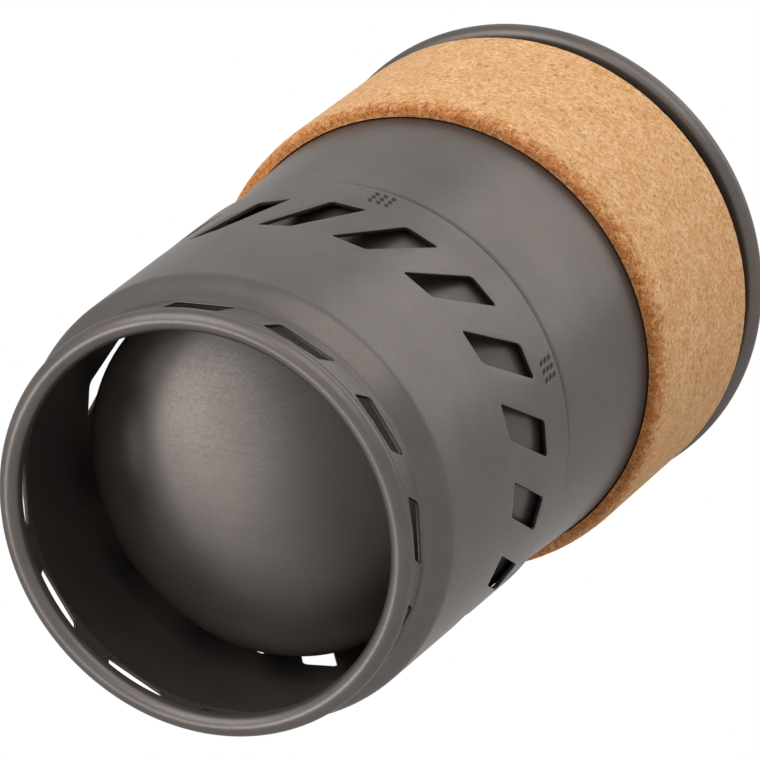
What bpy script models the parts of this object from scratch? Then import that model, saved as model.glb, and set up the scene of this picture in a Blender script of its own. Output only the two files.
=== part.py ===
"""Pot unit of an integrated canister stove, with its plug lid and its burner stowed inside the pot.

The pot's axis is Z. The origin lies on that axis, in the plane that the rolled foot stands on.
Lengths are in metres: sizes are written in millimetres times MM.
"""
import math

import bmesh
import bpy
from mathutils import Matrix, Vector

MM = 0.001

# Gaps between neighbours
SEAT_GAP = 0.3 * MM
SPIN_GAP = 0.35 * MM

# Facets round a turned piece
POT_STEPS = 56
BURNER_STEPS = 30
SMALL_STEPS = 16

# Heat-exchanger skirt
FOOT_RADIUS = 45.0 * MM
FOOT_BEAD = 2.4 * MM
SKIRT_SHEET = 1.0 * MM
NECK_OFFSET = 1.4 * MM
NECK_TOP = 10.4 * MM
SHOULDER_HEIGHT = 17.7 * MM
LAP_RADIUS = 50.6 * MM
SKIRT_TAPER = 0.5 * MM
LAP_HEIGHT = 77.0 * MM
WINDOW_COUNT = 18
WINDOW_BELOW_LAP = 11.2 * MM
WINDOW_HEIGHT = 17.4 * MM
WINDOW_WIDTH = 8.2 * MM
WINDOW_SLANT = 10.1 * MM
WINDOW_TIP = 0.5 * MM
WINDOW_CORNER = 1.8 * MM
WINDOW_PHASE = 3.0
SLOT_COUNT = 12
SLOT_HEIGHT = 3.9 * MM
SLOT_WIDTH = 14.0 * MM
SLOT_SLANT = 2.6 * MM
SLOT_TIP = 0.4 * MM
SLOT_CORNER = 1.5 * MM
SLOT_CENTRE = 7.7 * MM
SLOT_PHASE = 8.4

# Pot
POT_SHEET = 1.0 * MM
GAS_GAP = 7.8 * MM
DOME_LOW = 27.4 * MM
DOME_RISE = 7.0 * MM
DOME_POWER = 2.0
LAP_OVERLAP = 4.0 * MM
WIDENING_RISE = 26.0 * MM
BARE_WALL = 42.6 * MM
WALL_TAPER = 2.1 * MM
RIM_HEIGHT = 179.3 * MM
RIM_BEAD = 2.5 * MM

# Cork sleeve
CORK_BELOW_RIM = 10.0 * MM
CORK_THICKNESS = 3.1 * MM
CORK_CHAMFER_HEIGHT = 6.0 * MM
CORK_CHAMFER_DEPTH = 1.5 * MM
CORK_EDGE = 1.0 * MM

# Plug lid
LID_RECESS = 1.6 * MM
LID_WALL_HEIGHT = 11.5 * MM
LID_FLOOR = 2.0 * MM
LID_WALL = 2.2 * MM
LID_FIT = 0.8 * MM
GASKET_LIFT = 3.6 * MM
GASKET_HEIGHT = 4.0 * MM
GASKET_DEPTH = 1.2 * MM
POUR_WIDTH = 16.0 * MM
POUR_LENGTH = 7.0 * MM
POUR_FROM_EDGE = 13.6 * MM
FLAP_OVERLAP = 2.0 * MM
FLAP_THICKNESS = 1.8 * MM
FLAP_PIN_RADIUS = 0.9 * MM
KNUCKLE_WALL = 1.1 * MM
LUG_THICKNESS = 2.4 * MM
LUG_MARGIN = 0.8 * MM
STRAINER_COUNT = 7
STRAINER_RADIUS = 1.5 * MM
STRAINER_FROM_EDGE = 9.6 * MM
STRAINER_STEP = 9.0
GRIP_BAR_LENGTH = 34.0 * MM
GRIP_BAR_WIDTH = 3.6 * MM

# Burner, stowed with its flame side down
RING_CLEARANCE = 3.8 * MM
RING_HEIGHT = 4.2 * MM
RING_WALL = 2.6 * MM
RING_LIP = 3.0 * MM
RING_LIP_THICKNESS = 1.0 * MM
SCREEN_THICKNESS = 1.0 * MM
SCREEN_HOLE_RADIUS = 1.4 * MM
SCREEN_PITCH = 9.0 * MM
SCREEN_RINGS = 3
BOWL_SHEET = 1.0 * MM
BOWL_SIDE = 8.0 * MM
BOWL_CONE = 10.0 * MM
BOWL_FLAT_RADIUS = 17.0 * MM
DIFFUSER_THICKNESS = 1.0 * MM
DIFFUSER_LIFT = 4.0 * MM
DIFFUSER_HOLES = 8
DIFFUSER_HOLE_RADIUS = 2.0 * MM
DIFFUSER_CIRCLE = 20.0 * MM
SHIELD_RADIUS = 30.0 * MM
SHIELD_THICKNESS = 0.8 * MM
TUBE_RADIUS = 8.0 * MM
TUBE_WALL = 1.3 * MM
TUBE_LENGTH = 28.0 * MM
TUBE_SPIGOT = 1.5 * MM
TUBE_FLANGE_RADIUS = 14.5 * MM
TUBE_FLANGE = 1.5 * MM
AIR_HOLES = 4
AIR_HOLE_RADIUS = 2.2 * MM
AIR_HOLE_BELOW_VALVE = 9.0 * MM
SCREW_COUNT = 3
SCREW_CIRCLE = 11.3 * MM
SCREW_SHANK = 1.2 * MM
SCREW_HEAD = 2.2 * MM
SCREW_HEAD_HEIGHT = 1.4 * MM
JET_RADIUS = 3.2 * MM
JET_LENGTH = 6.0 * MM
JET_BORE = 0.6 * MM
VALVE_RADIUS = 11.0 * MM
VALVE_HEIGHT = 20.0 * MM
VALVE_CHAMFER = 1.0 * MM
SPINDLE_RADIUS = 2.6 * MM
SPINDLE_DEPTH = 6.0 * MM
NUT_RADIUS = 5.2 * MM
NUT_LENGTH = 5.0 * MM
KNOB_RADIUS = 9.0 * MM
KNOB_LENGTH = 9.0 * MM
KNOB_LOBES = 6
KNOB_LOBE_DEPTH = 0.8 * MM
KNOB_SOCKET = 5.0 * MM
COLLAR_RADIUS = 17.0 * MM
COLLAR_BORE = 5.8 * MM
COLLAR_HEIGHT = 13.0 * MM
COLLAR_FLOOR = 2.0 * MM
O_RING_TUBE = 0.8 * MM
PIN_RADIUS = 0.9 * MM
PIN_REACH = 2.6 * MM

# Pot places, from the sizes above
NECK_RADIUS = FOOT_RADIUS + NECK_OFFSET
SHOULDER_RADIUS = LAP_RADIUS - SKIRT_TAPER
WINDOW_CENTRE = LAP_HEIGHT - WINDOW_BELOW_LAP - WINDOW_HEIGHT / 2
POT_LAP_RADIUS = LAP_RADIUS - SKIRT_SHEET - SEAT_GAP
DOME_RADIUS = LAP_RADIUS - SKIRT_SHEET - GAS_GAP
WIDENING_HIGH = LAP_HEIGHT - LAP_OVERLAP
WIDENING_LOW = WIDENING_HIGH - WIDENING_RISE
GRIP_LOW = LAP_HEIGHT + BARE_WALL
WALL_RADIUS = POT_LAP_RADIUS + WALL_TAPER
POT_INNER_RADIUS = WALL_RADIUS - POT_SHEET
RIM_CENTRE = (POT_INNER_RADIUS + RIM_BEAD, RIM_HEIGHT - RIM_BEAD)
CORK_INNER = WALL_RADIUS + SEAT_GAP
CORK_RADIUS = CORK_INNER + CORK_THICKNESS
CORK_HIGH = RIM_HEIGHT - CORK_BELOW_RIM

# Lid places
LID_TOP = RIM_HEIGHT - LID_RECESS
LID_LOW = LID_TOP - LID_WALL_HEIGHT
LID_FLOOR_TOP = LID_LOW + LID_FLOOR
LID_RADIUS = POT_INNER_RADIUS - LID_FIT
POUR_FROM_AXIS = LID_RADIUS - POUR_FROM_EDGE
STRAINER_FROM_AXIS = LID_RADIUS - STRAINER_FROM_EDGE
GROOVE_LOW = LID_LOW + GASKET_LIFT
GROOVE_HIGH = GROOVE_LOW + GASKET_HEIGHT + 2 * SEAT_GAP
GROOVE_RADIUS = LID_RADIUS - GASKET_DEPTH
KNUCKLE_RADIUS = FLAP_PIN_RADIUS + SPIN_GAP + KNUCKLE_WALL
FLAP_HALF = POUR_WIDTH / 2 + FLAP_OVERLAP
FLAP_LOW = LID_FLOOR_TOP + SEAT_GAP
FLAP_AXIS_Z = FLAP_LOW + KNUCKLE_RADIUS
FLAP_NEAR_Y = -(POUR_FROM_AXIS - POUR_LENGTH / 2 - FLAP_OVERLAP)
FLAP_FAR_Y = -(POUR_FROM_AXIS + POUR_LENGTH / 2 + FLAP_OVERLAP)
FLAP_AXIS_Y = FLAP_NEAR_Y + KNUCKLE_RADIUS


def dome_height(radius, dome_radius, low):
    """Height of a domed bottom at a distance from the axis."""
    share = min(radius / dome_radius, 1.0)
    return low + DOME_RISE * (1.0 - (1.0 - share ** DOME_POWER) ** (1.0 / DOME_POWER))


# Burner places, each seated on the one before
RING_RADIUS = DOME_RADIUS - POT_SHEET - RING_CLEARANCE
RING_LOW = dome_height(RING_RADIUS, DOME_RADIUS - POT_SHEET, DOME_LOW + POT_SHEET) + SEAT_GAP
SCREEN_LOW = RING_LOW + RING_LIP_THICKNESS + SEAT_GAP
SCREEN_RADIUS = RING_RADIUS - RING_WALL - SEAT_GAP
BOWL_LOW = SCREEN_LOW + SCREEN_THICKNESS + SEAT_GAP
BOWL_SHOULDER = BOWL_LOW + BOWL_SIDE
BOWL_TOP = BOWL_SHOULDER + BOWL_CONE
SHIELD_LOW = BOWL_TOP + SEAT_GAP
FLANGE_LOW = SHIELD_LOW + SHIELD_THICKNESS + SEAT_GAP
FLANGE_TOP = FLANGE_LOW + TUBE_FLANGE
SPIGOT_LOW = BOWL_TOP - BOWL_SHEET - TUBE_SPIGOT
TUBE_TOP = FLANGE_LOW + TUBE_LENGTH
VALVE_LOW = TUBE_TOP + SEAT_GAP
VALVE_TOP = VALVE_LOW + VALVE_HEIGHT
SPINDLE_Z = VALVE_LOW + VALVE_HEIGHT / 2
COLLAR_LOW = VALVE_TOP + SEAT_GAP
COLLAR_SEAT = COLLAR_LOW + COLLAR_FLOOR
NUT_START = VALVE_RADIUS + SEAT_GAP
KNOB_START = NUT_START + NUT_LENGTH + SPIN_GAP


def clear_scene():
    """Remove whatever objects the scene holds."""
    for thing in list(bpy.data.objects):
        bpy.data.objects.remove(thing, do_unlink=True)


def collection(name):
    """A new collection linked to the scene."""
    made = bpy.data.collections.new(name)
    bpy.context.scene.collection.children.link(made)
    return made


def material(name, colour, roughness, metallic):
    """A Principled material from a linear colour, a roughness and a metallic value."""
    made = bpy.data.materials.new(name)
    made.use_nodes = True
    shader = made.node_tree.nodes["Principled BSDF"]
    shader.inputs["Base Color"].default_value = (*colour, 1.0)
    shader.inputs["Roughness"].default_value = roughness
    shader.inputs["Metallic"].default_value = metallic
    return made


def add_object(name, mesh, finish, group):
    """An object for a mesh, with its material, in a collection."""
    if finish is not None:
        mesh.materials.append(finish)
    made = bpy.data.objects.new(name, mesh)
    group.objects.link(made)
    return made


def object_from_bmesh(name, bm, finish, group):
    """An object from a bmesh, which is freed."""
    bmesh.ops.recalc_face_normals(bm, faces=bm.faces[:])
    mesh = bpy.data.meshes.new(name)
    bm.to_mesh(mesh)
    bm.free()
    return add_object(name, mesh, finish, group)


def cutter_from_bmesh(name, bm, group):
    """A cutter from a bmesh, shown as a wire and never rendered."""
    made = object_from_bmesh(name, bm, None, group)
    made.display_type = "WIRE"
    made.hide_render = True
    return made


def turned(name, profile, steps, finish, group, closed=True):
    """A turned piece: (radius, height) points swept round Z by a Screw modifier.

    The profile runs down the outer side. A closed one returns to its start up the inner side,
    and an open one begins and ends on the axis.
    """
    mesh = bpy.data.meshes.new(name)
    points = [(radius, 0.0, height) for radius, height in profile]
    edges = [(i, i + 1) for i in range(len(points) - 1)]
    if closed:
        edges.append((len(points) - 1, 0))
    mesh.from_pydata(points, edges, [])
    made = add_object(name, mesh, finish, group)
    screw = made.modifiers.new("Screw", "SCREW")
    screw.axis = "Z"
    screw.steps = screw.render_steps = steps
    screw.use_merge_vertices = True
    screw.merge_threshold = 0.00001
    screw.use_smooth_shade = True
    return made


def ring_profile(inner, outer, low, high):
    """Profile of a plain ring."""
    return [(outer, high), (outer, low), (inner, low), (inner, high)]


def disc_profile(radius, low, high):
    """Profile of a plain disc."""
    return [(0.0, high), (radius, high), (radius, low), (0.0, low)]


def arc(centre, radius, start, end, count):
    """Points of an arc between two angles in degrees, both ends included."""
    turns = [math.radians(start + (end - start) * i / count) for i in range(count + 1)]
    return [(centre[0] + radius * math.cos(turn), centre[1] + radius * math.sin(turn)) for turn in turns]


def eased(low, high, count):
    """Points of a smooth S from one (radius, height) point to another."""
    points = []
    for i in range(count + 1):
        share = 0.5 - 0.5 * math.cos(math.pi * i / count)
        points.append((low[0] + (high[0] - low[0]) * share, low[1] + (high[1] - low[1]) * i / count))
    return points


def on_circle(radius, count, phase=0.0, step=None):
    """Places on a circle round the axis, spread evenly or by a step in degrees."""
    step = 360.0 / count if step is None else step
    turns = [math.radians(phase + step * k) for k in range(count)]
    return [(radius * math.cos(turn), radius * math.sin(turn)) for turn in turns]


def slanted_outline(width, height, slant, tip, corner, corner_steps=2):
    """Parallelogram about the origin, its top moved sideways, with small tips and rounder corners."""
    low, high = -height / 2, height / 2
    corners = [Vector((-(width + slant) / 2, low)), Vector(((width - slant) / 2, low)),
               Vector(((width + slant) / 2, high)), Vector((-(width - slant) / 2, high))]
    outline = []
    for i, point in enumerate(corners):
        radius = corner if i % 2 else tip
        before = (corners[i - 1] - point).normalized()
        after = (corners[(i + 1) % 4] - point).normalized()
        half = before.angle(after) / 2
        centre = point + (before + after).normalized() * (radius / math.sin(half))
        start = point + before * (radius / math.tan(half)) - centre
        turn = (math.pi - 2 * half) / corner_steps
        outline += [centre + Matrix.Rotation(turn * step, 2) @ start for step in range(corner_steps + 1)]
    return outline


def add_prism(bm, points, sweep):
    """A prism from a flat loop of points, swept by a vector."""
    face = bm.faces.new([bm.verts.new(point) for point in points])
    grown = bmesh.ops.extrude_face_region(bm, geom=[face])
    moved = [item for item in grown["geom"] if isinstance(item, bmesh.types.BMVert)]
    bmesh.ops.translate(bm, verts=moved, vec=sweep)


def add_box(bm, low, high):
    """A box between two corners."""
    size = Vector(high) - Vector(low)
    middle = (Vector(high) + Vector(low)) / 2
    bmesh.ops.create_cube(bm, size=1.0, matrix=Matrix.Translation(middle) @ Matrix.Diagonal((*size, 1.0)))


def add_rod(bm, centre, direction, radius, length, steps):
    """A round rod about a centre, along a direction."""
    turn = Vector((0.0, 0.0, 1.0)).rotation_difference(Vector(direction)).to_matrix().to_4x4()
    bmesh.ops.create_cone(bm, cap_ends=True, segments=steps, radius1=radius, radius2=radius,
                          depth=length, matrix=Matrix.Translation(centre) @ turn)


def boolean(target, other, operation="DIFFERENCE"):
    """An exact Boolean of a target with another object."""
    step = target.modifiers.new(other.name, "BOOLEAN")
    step.operation = operation
    step.solver = "EXACT"
    step.object = other


def cut_openings(target, name, outline, count, phase, height, radius, group):
    """Cut openings of one outline, spread evenly round the axis, through a wall of some radius."""
    reach = GAS_GAP / 2
    bm = bmesh.new()
    for x, y in on_circle(1.0, count, phase):
        outward = Vector((x, y, 0.0))
        along = Vector((-y, x, 0.0))
        inner = outward * (radius - reach) + Vector((0.0, 0.0, height))
        add_prism(bm, [inner + along * p.x + Vector((0.0, 0.0, p.y)) for p in outline], outward * reach * 2)
    boolean(target, cutter_from_bmesh(name, bm, group))


def cut_holes(target, name, places, radius, low, high, steps, group):
    """Cut round holes along Z at several places."""
    bm = bmesh.new()
    for x, y in places:
        add_rod(bm, (x, y, (low + high) / 2), (0.0, 0.0, 1.0), radius, high - low, steps)
    boolean(target, cutter_from_bmesh(name, bm, group))


def build_skirt(finish, parts, cutters):
    """Skirt of one sheet: rolled foot, slotted neck, flare and windowed wall."""
    flare = eased((NECK_RADIUS, NECK_TOP), (SHOULDER_RADIUS, SHOULDER_HEIGHT), 4)
    outer = [(LAP_RADIUS, LAP_HEIGHT)] + flare[::-1] + [(NECK_RADIUS, 2 * FOOT_BEAD)]
    inner = [(radius - SKIRT_SHEET, height) for radius, height in reversed(outer)]
    sides = 12
    corner = FOOT_BEAD / math.cos(math.pi / sides)
    foot = arc((FOOT_RADIUS, FOOT_BEAD), corner, 45.0, -225.0, 9)
    skirt = turned("heat_skirt", outer + foot + inner, POT_STEPS, finish, parts)
    window = slanted_outline(WINDOW_WIDTH, WINDOW_HEIGHT, WINDOW_SLANT, WINDOW_TIP, WINDOW_CORNER)
    cut_openings(skirt, "window_cutter", window, WINDOW_COUNT, WINDOW_PHASE, WINDOW_CENTRE, LAP_RADIUS,
                 cutters)
    slot = slanted_outline(SLOT_WIDTH, SLOT_HEIGHT, SLOT_SLANT, SLOT_TIP, SLOT_CORNER)
    cut_openings(skirt, "slot_cutter", slot, SLOT_COUNT, SLOT_PHASE, SLOT_CENTRE, NECK_RADIUS, cutters)


def build_pot(finish, parts):
    """Pot: domed bottom, narrow lower wall, widening under the lap, tapered wall and rolled rim."""
    shares = [math.sin(math.pi / 2 * i / 7) for i in range(8)]

    def skin(inset):
        """Outer profile of the pot, moved inwards by an inset."""
        radius, low = DOME_RADIUS - inset, DOME_LOW + inset
        dome = [(radius * share, dome_height(radius * share, radius, low)) for share in shares]
        widening = eased((radius, WIDENING_LOW), (POT_LAP_RADIUS - inset, WIDENING_HIGH), 4)
        return dome + widening + [(POT_LAP_RADIUS - inset, LAP_HEIGHT), (WALL_RADIUS - inset, GRIP_LOW)]

    rolled_end = -math.degrees(math.acos((WALL_RADIUS - RIM_CENTRE[0]) / RIM_BEAD))
    rim = arc(RIM_CENTRE, RIM_BEAD, 180.0, 90.0, 3)[:-1] + arc(RIM_CENTRE, RIM_BEAD, 90.0, 0.0, 3)[:-1]
    rim += arc(RIM_CENTRE, RIM_BEAD, 0.0, rolled_end, 4)
    turned("pot_body", skin(POT_SHEET) + rim + skin(0.0)[::-1], POT_STEPS, finish, parts, closed=False)


def build_cork(finish, parts):
    """Cork sleeve: a straight band with a rounded lower edge and a small upper one."""
    low = GRIP_LOW
    profile = [(CORK_RADIUS - CORK_EDGE, CORK_HIGH), (CORK_RADIUS, CORK_HIGH - CORK_EDGE)]
    for i in range(5):
        turn = math.pi / 2 * i / 4
        inset = CORK_CHAMFER_DEPTH * (1.0 - math.cos(turn))
        profile.append((CORK_RADIUS - inset, low + CORK_CHAMFER_HEIGHT * (1.0 - math.sin(turn))))
    profile += [(CORK_INNER, low), (CORK_INNER, CORK_HIGH)]
    turned("cork_sleeve", profile, POT_STEPS, finish, parts)


def build_lid(finish, parts, cutters):
    """Lid shell: a dish with a gasket groove, a pour opening, strainer holes, hinge lugs and a grip bar."""
    wall_inner = GROOVE_RADIUS - LID_WALL + GASKET_DEPTH
    profile = [(0.0, LID_FLOOR_TOP), (wall_inner, LID_FLOOR_TOP), (wall_inner, LID_TOP),
               (LID_RADIUS, LID_TOP), (LID_RADIUS, GROOVE_HIGH), (GROOVE_RADIUS, GROOVE_HIGH),
               (GROOVE_RADIUS, GROOVE_LOW), (LID_RADIUS, GROOVE_LOW), (LID_RADIUS, LID_LOW), (0.0, LID_LOW)]
    lid = turned("lid_shell", profile, POT_STEPS, finish, parts, closed=False)
    root = LID_FLOOR_TOP - LID_FLOOR / 2
    half_lug = KNUCKLE_RADIUS + LUG_MARGIN
    bm = bmesh.new()
    for side in (-1, 1):
        near, far = side * (FLAP_HALF + SPIN_GAP), side * (FLAP_HALF + SPIN_GAP + LUG_THICKNESS)
        add_box(bm, (min(near, far), FLAP_AXIS_Y - half_lug, root),
                (max(near, far), FLAP_AXIS_Y + half_lug, FLAP_AXIS_Z + half_lug))
    add_box(bm, (-GRIP_BAR_LENGTH / 2, -GRIP_BAR_WIDTH / 2, root),
            (GRIP_BAR_LENGTH / 2, GRIP_BAR_WIDTH / 2, LID_TOP))
    boolean(lid, cutter_from_bmesh("lid_additions", bm, cutters), "UNION")
    bm = bmesh.new()
    margin = LID_FLOOR / 2
    add_box(bm, (-POUR_WIDTH / 2, -POUR_FROM_AXIS - POUR_LENGTH / 2, LID_LOW - margin),
            (POUR_WIDTH / 2, -POUR_FROM_AXIS + POUR_LENGTH / 2, LID_FLOOR_TOP + margin))
    boolean(lid, cutter_from_bmesh("pour_cutter", bm, cutters))
    bm = bmesh.new()
    add_rod(bm, (0.0, FLAP_AXIS_Y, FLAP_AXIS_Z), (1.0, 0.0, 0.0), FLAP_PIN_RADIUS + SEAT_GAP,
            2 * (FLAP_HALF + LUG_THICKNESS + margin), SMALL_STEPS)
    boolean(lid, cutter_from_bmesh("lug_bore", bm, cutters))
    spread = STRAINER_STEP * (STRAINER_COUNT - 1)
    places = on_circle(STRAINER_FROM_AXIS, STRAINER_COUNT, 90.0 - spread / 2, STRAINER_STEP)
    cut_holes(lid, "strainer_cutter", places, STRAINER_RADIUS, LID_LOW - margin, LID_FLOOR_TOP + margin, 12,
              cutters)


def build_gasket(finish, parts):
    """Silicone ring that seals the lid in the pot."""
    profile = ring_profile(GROOVE_RADIUS + SEAT_GAP, POT_INNER_RADIUS - SEAT_GAP,
                           GROOVE_LOW + SEAT_GAP, GROOVE_HIGH - SEAT_GAP)
    turned("lid_gasket", profile, POT_STEPS, finish, parts)


def build_flap(plastic, steel, parts, cutters):
    """Pour flap with its knuckle, and the hinge pin held in the lugs. The flap's origin is on its axis."""
    axis = Vector((0.0, FLAP_AXIS_Y, FLAP_AXIS_Z))
    bm = bmesh.new()
    add_box(bm, Vector((-FLAP_HALF, FLAP_FAR_Y, FLAP_LOW)) - axis,
            Vector((FLAP_HALF, FLAP_AXIS_Y, FLAP_LOW + FLAP_THICKNESS)) - axis)
    flap = object_from_bmesh("pour_flap", bm, plastic, parts)
    flap.location = axis
    bm = bmesh.new()
    add_rod(bm, axis, (1.0, 0.0, 0.0), KNUCKLE_RADIUS, 2 * FLAP_HALF, SMALL_STEPS)
    boolean(flap, cutter_from_bmesh("knuckle", bm, cutters), "UNION")
    bm = bmesh.new()
    add_rod(bm, axis, (1.0, 0.0, 0.0), FLAP_PIN_RADIUS + SPIN_GAP, 2 * (FLAP_HALF + KNUCKLE_RADIUS),
            SMALL_STEPS)
    boolean(flap, cutter_from_bmesh("knuckle_bore", bm, cutters))
    bm = bmesh.new()
    add_rod(bm, axis, (1.0, 0.0, 0.0), FLAP_PIN_RADIUS, 2 * (FLAP_HALF + SPIN_GAP + LUG_THICKNESS),
            SMALL_STEPS)
    object_from_bmesh("flap_pin", bm, steel, parts)


def build_burner_head(steel, alloy, parts, cutters):
    """Burner head: retaining ring, perforated screen, bowl, diffuser inside it and heat shield."""
    lip = RING_RADIUS - RING_WALL - RING_LIP
    wall = RING_RADIUS - RING_WALL
    ring = [(RING_RADIUS, RING_LOW + RING_HEIGHT), (RING_RADIUS, RING_LOW), (lip, RING_LOW),
            (lip, RING_LOW + RING_LIP_THICKNESS), (wall, RING_LOW + RING_LIP_THICKNESS),
            (wall, RING_LOW + RING_HEIGHT)]
    turned("burner_ring", ring, BURNER_STEPS, steel, parts)

    screen_top = SCREEN_LOW + SCREEN_THICKNESS
    screen = turned("burner_screen", disc_profile(SCREEN_RADIUS, SCREEN_LOW, screen_top), BURNER_STEPS,
                    steel, parts, closed=False)
    places = [(0.0, 0.0)]
    for k in range(1, SCREEN_RINGS):
        places += on_circle(SCREEN_PITCH * k, 6 * k)
    cut_holes(screen, "screen_cutter", places, SCREEN_HOLE_RADIUS, SCREEN_LOW - SCREEN_THICKNESS,
              screen_top + SCREEN_THICKNESS, 8, cutters)

    hole = TUBE_RADIUS + SEAT_GAP
    bowl_inner = SCREEN_RADIUS - BOWL_SHEET
    outside = [(hole, BOWL_TOP), (BOWL_FLAT_RADIUS, BOWL_TOP), (SCREEN_RADIUS, BOWL_SHOULDER),
               (SCREEN_RADIUS, BOWL_LOW)]
    inside = [(bowl_inner, BOWL_LOW), (bowl_inner, BOWL_SHOULDER - BOWL_SHEET / 2),
              (BOWL_FLAT_RADIUS - BOWL_SHEET / 2, BOWL_TOP - BOWL_SHEET), (hole, BOWL_TOP - BOWL_SHEET)]
    bowl = turned("burner_bowl", outside + inside, BURNER_STEPS, alloy, parts)

    diffuser_low = BOWL_LOW + DIFFUSER_LIFT
    diffuser_top = diffuser_low + DIFFUSER_THICKNESS
    diffuser = turned("gas_diffuser", disc_profile(bowl_inner - SEAT_GAP, diffuser_low, diffuser_top),
                      BURNER_STEPS, steel, parts, closed=False)
    cut_holes(diffuser, "diffuser_cutter", on_circle(DIFFUSER_CIRCLE, DIFFUSER_HOLES), DIFFUSER_HOLE_RADIUS,
              diffuser_low - DIFFUSER_THICKNESS, diffuser_top + DIFFUSER_THICKNESS, 12, cutters)

    shield_profile = ring_profile(hole, SHIELD_RADIUS, SHIELD_LOW, SHIELD_LOW + SHIELD_THICKNESS)
    shield = turned("heat_shield", shield_profile, BURNER_STEPS, steel, parts)
    return bowl, shield


def build_mixing_tube(brass, steel, bowl, shield, parts, cutters):
    """Mixing tube with its flange and air holes, and the screws that hold it to the shield and bowl."""
    bore = TUBE_RADIUS - TUBE_WALL
    profile = [(TUBE_RADIUS, TUBE_TOP), (TUBE_RADIUS, FLANGE_TOP), (TUBE_FLANGE_RADIUS, FLANGE_TOP),
               (TUBE_FLANGE_RADIUS, FLANGE_LOW), (TUBE_RADIUS, FLANGE_LOW), (TUBE_RADIUS, SPIGOT_LOW),
               (bore, SPIGOT_LOW), (bore, TUBE_TOP)]
    tube = turned("mixing_tube", profile, BURNER_STEPS, brass, parts)
    bm = bmesh.new()
    for x, y in on_circle(TUBE_RADIUS - TUBE_WALL / 2, AIR_HOLES, 45.0):
        add_rod(bm, (x, y, TUBE_TOP - AIR_HOLE_BELOW_VALVE), (x, y, 0.0), AIR_HOLE_RADIUS, TUBE_WALL * 3,
                12)
    boolean(tube, cutter_from_bmesh("air_cutter", bm, cutters))

    shank_low = BOWL_TOP - BOWL_SHEET - TUBE_SPIGOT
    head_low = FLANGE_TOP + SEAT_GAP
    places = on_circle(SCREW_CIRCLE, SCREW_COUNT, 30.0)
    bm = bmesh.new()
    for x, y in places:
        add_rod(bm, (x, y, (shank_low + head_low) / 2), (0.0, 0.0, 1.0), SCREW_SHANK + SEAT_GAP,
                head_low - shank_low, 12)
    cutter = cutter_from_bmesh("screw_cutter", bm, cutters)
    for target in (tube, shield, bowl):
        boolean(target, cutter)
    head_top = head_low + SCREW_HEAD_HEIGHT
    screw = [(0.0, head_top), (SCREW_HEAD, head_top), (SCREW_HEAD, head_low), (SCREW_SHANK, head_low),
             (SCREW_SHANK, shank_low), (0.0, shank_low)]
    for k, (x, y) in enumerate(places, 1):
        turned(f"burner_screw_{k}", screw, 12, steel, parts, closed=False).location = (x, y, 0.0)


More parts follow.
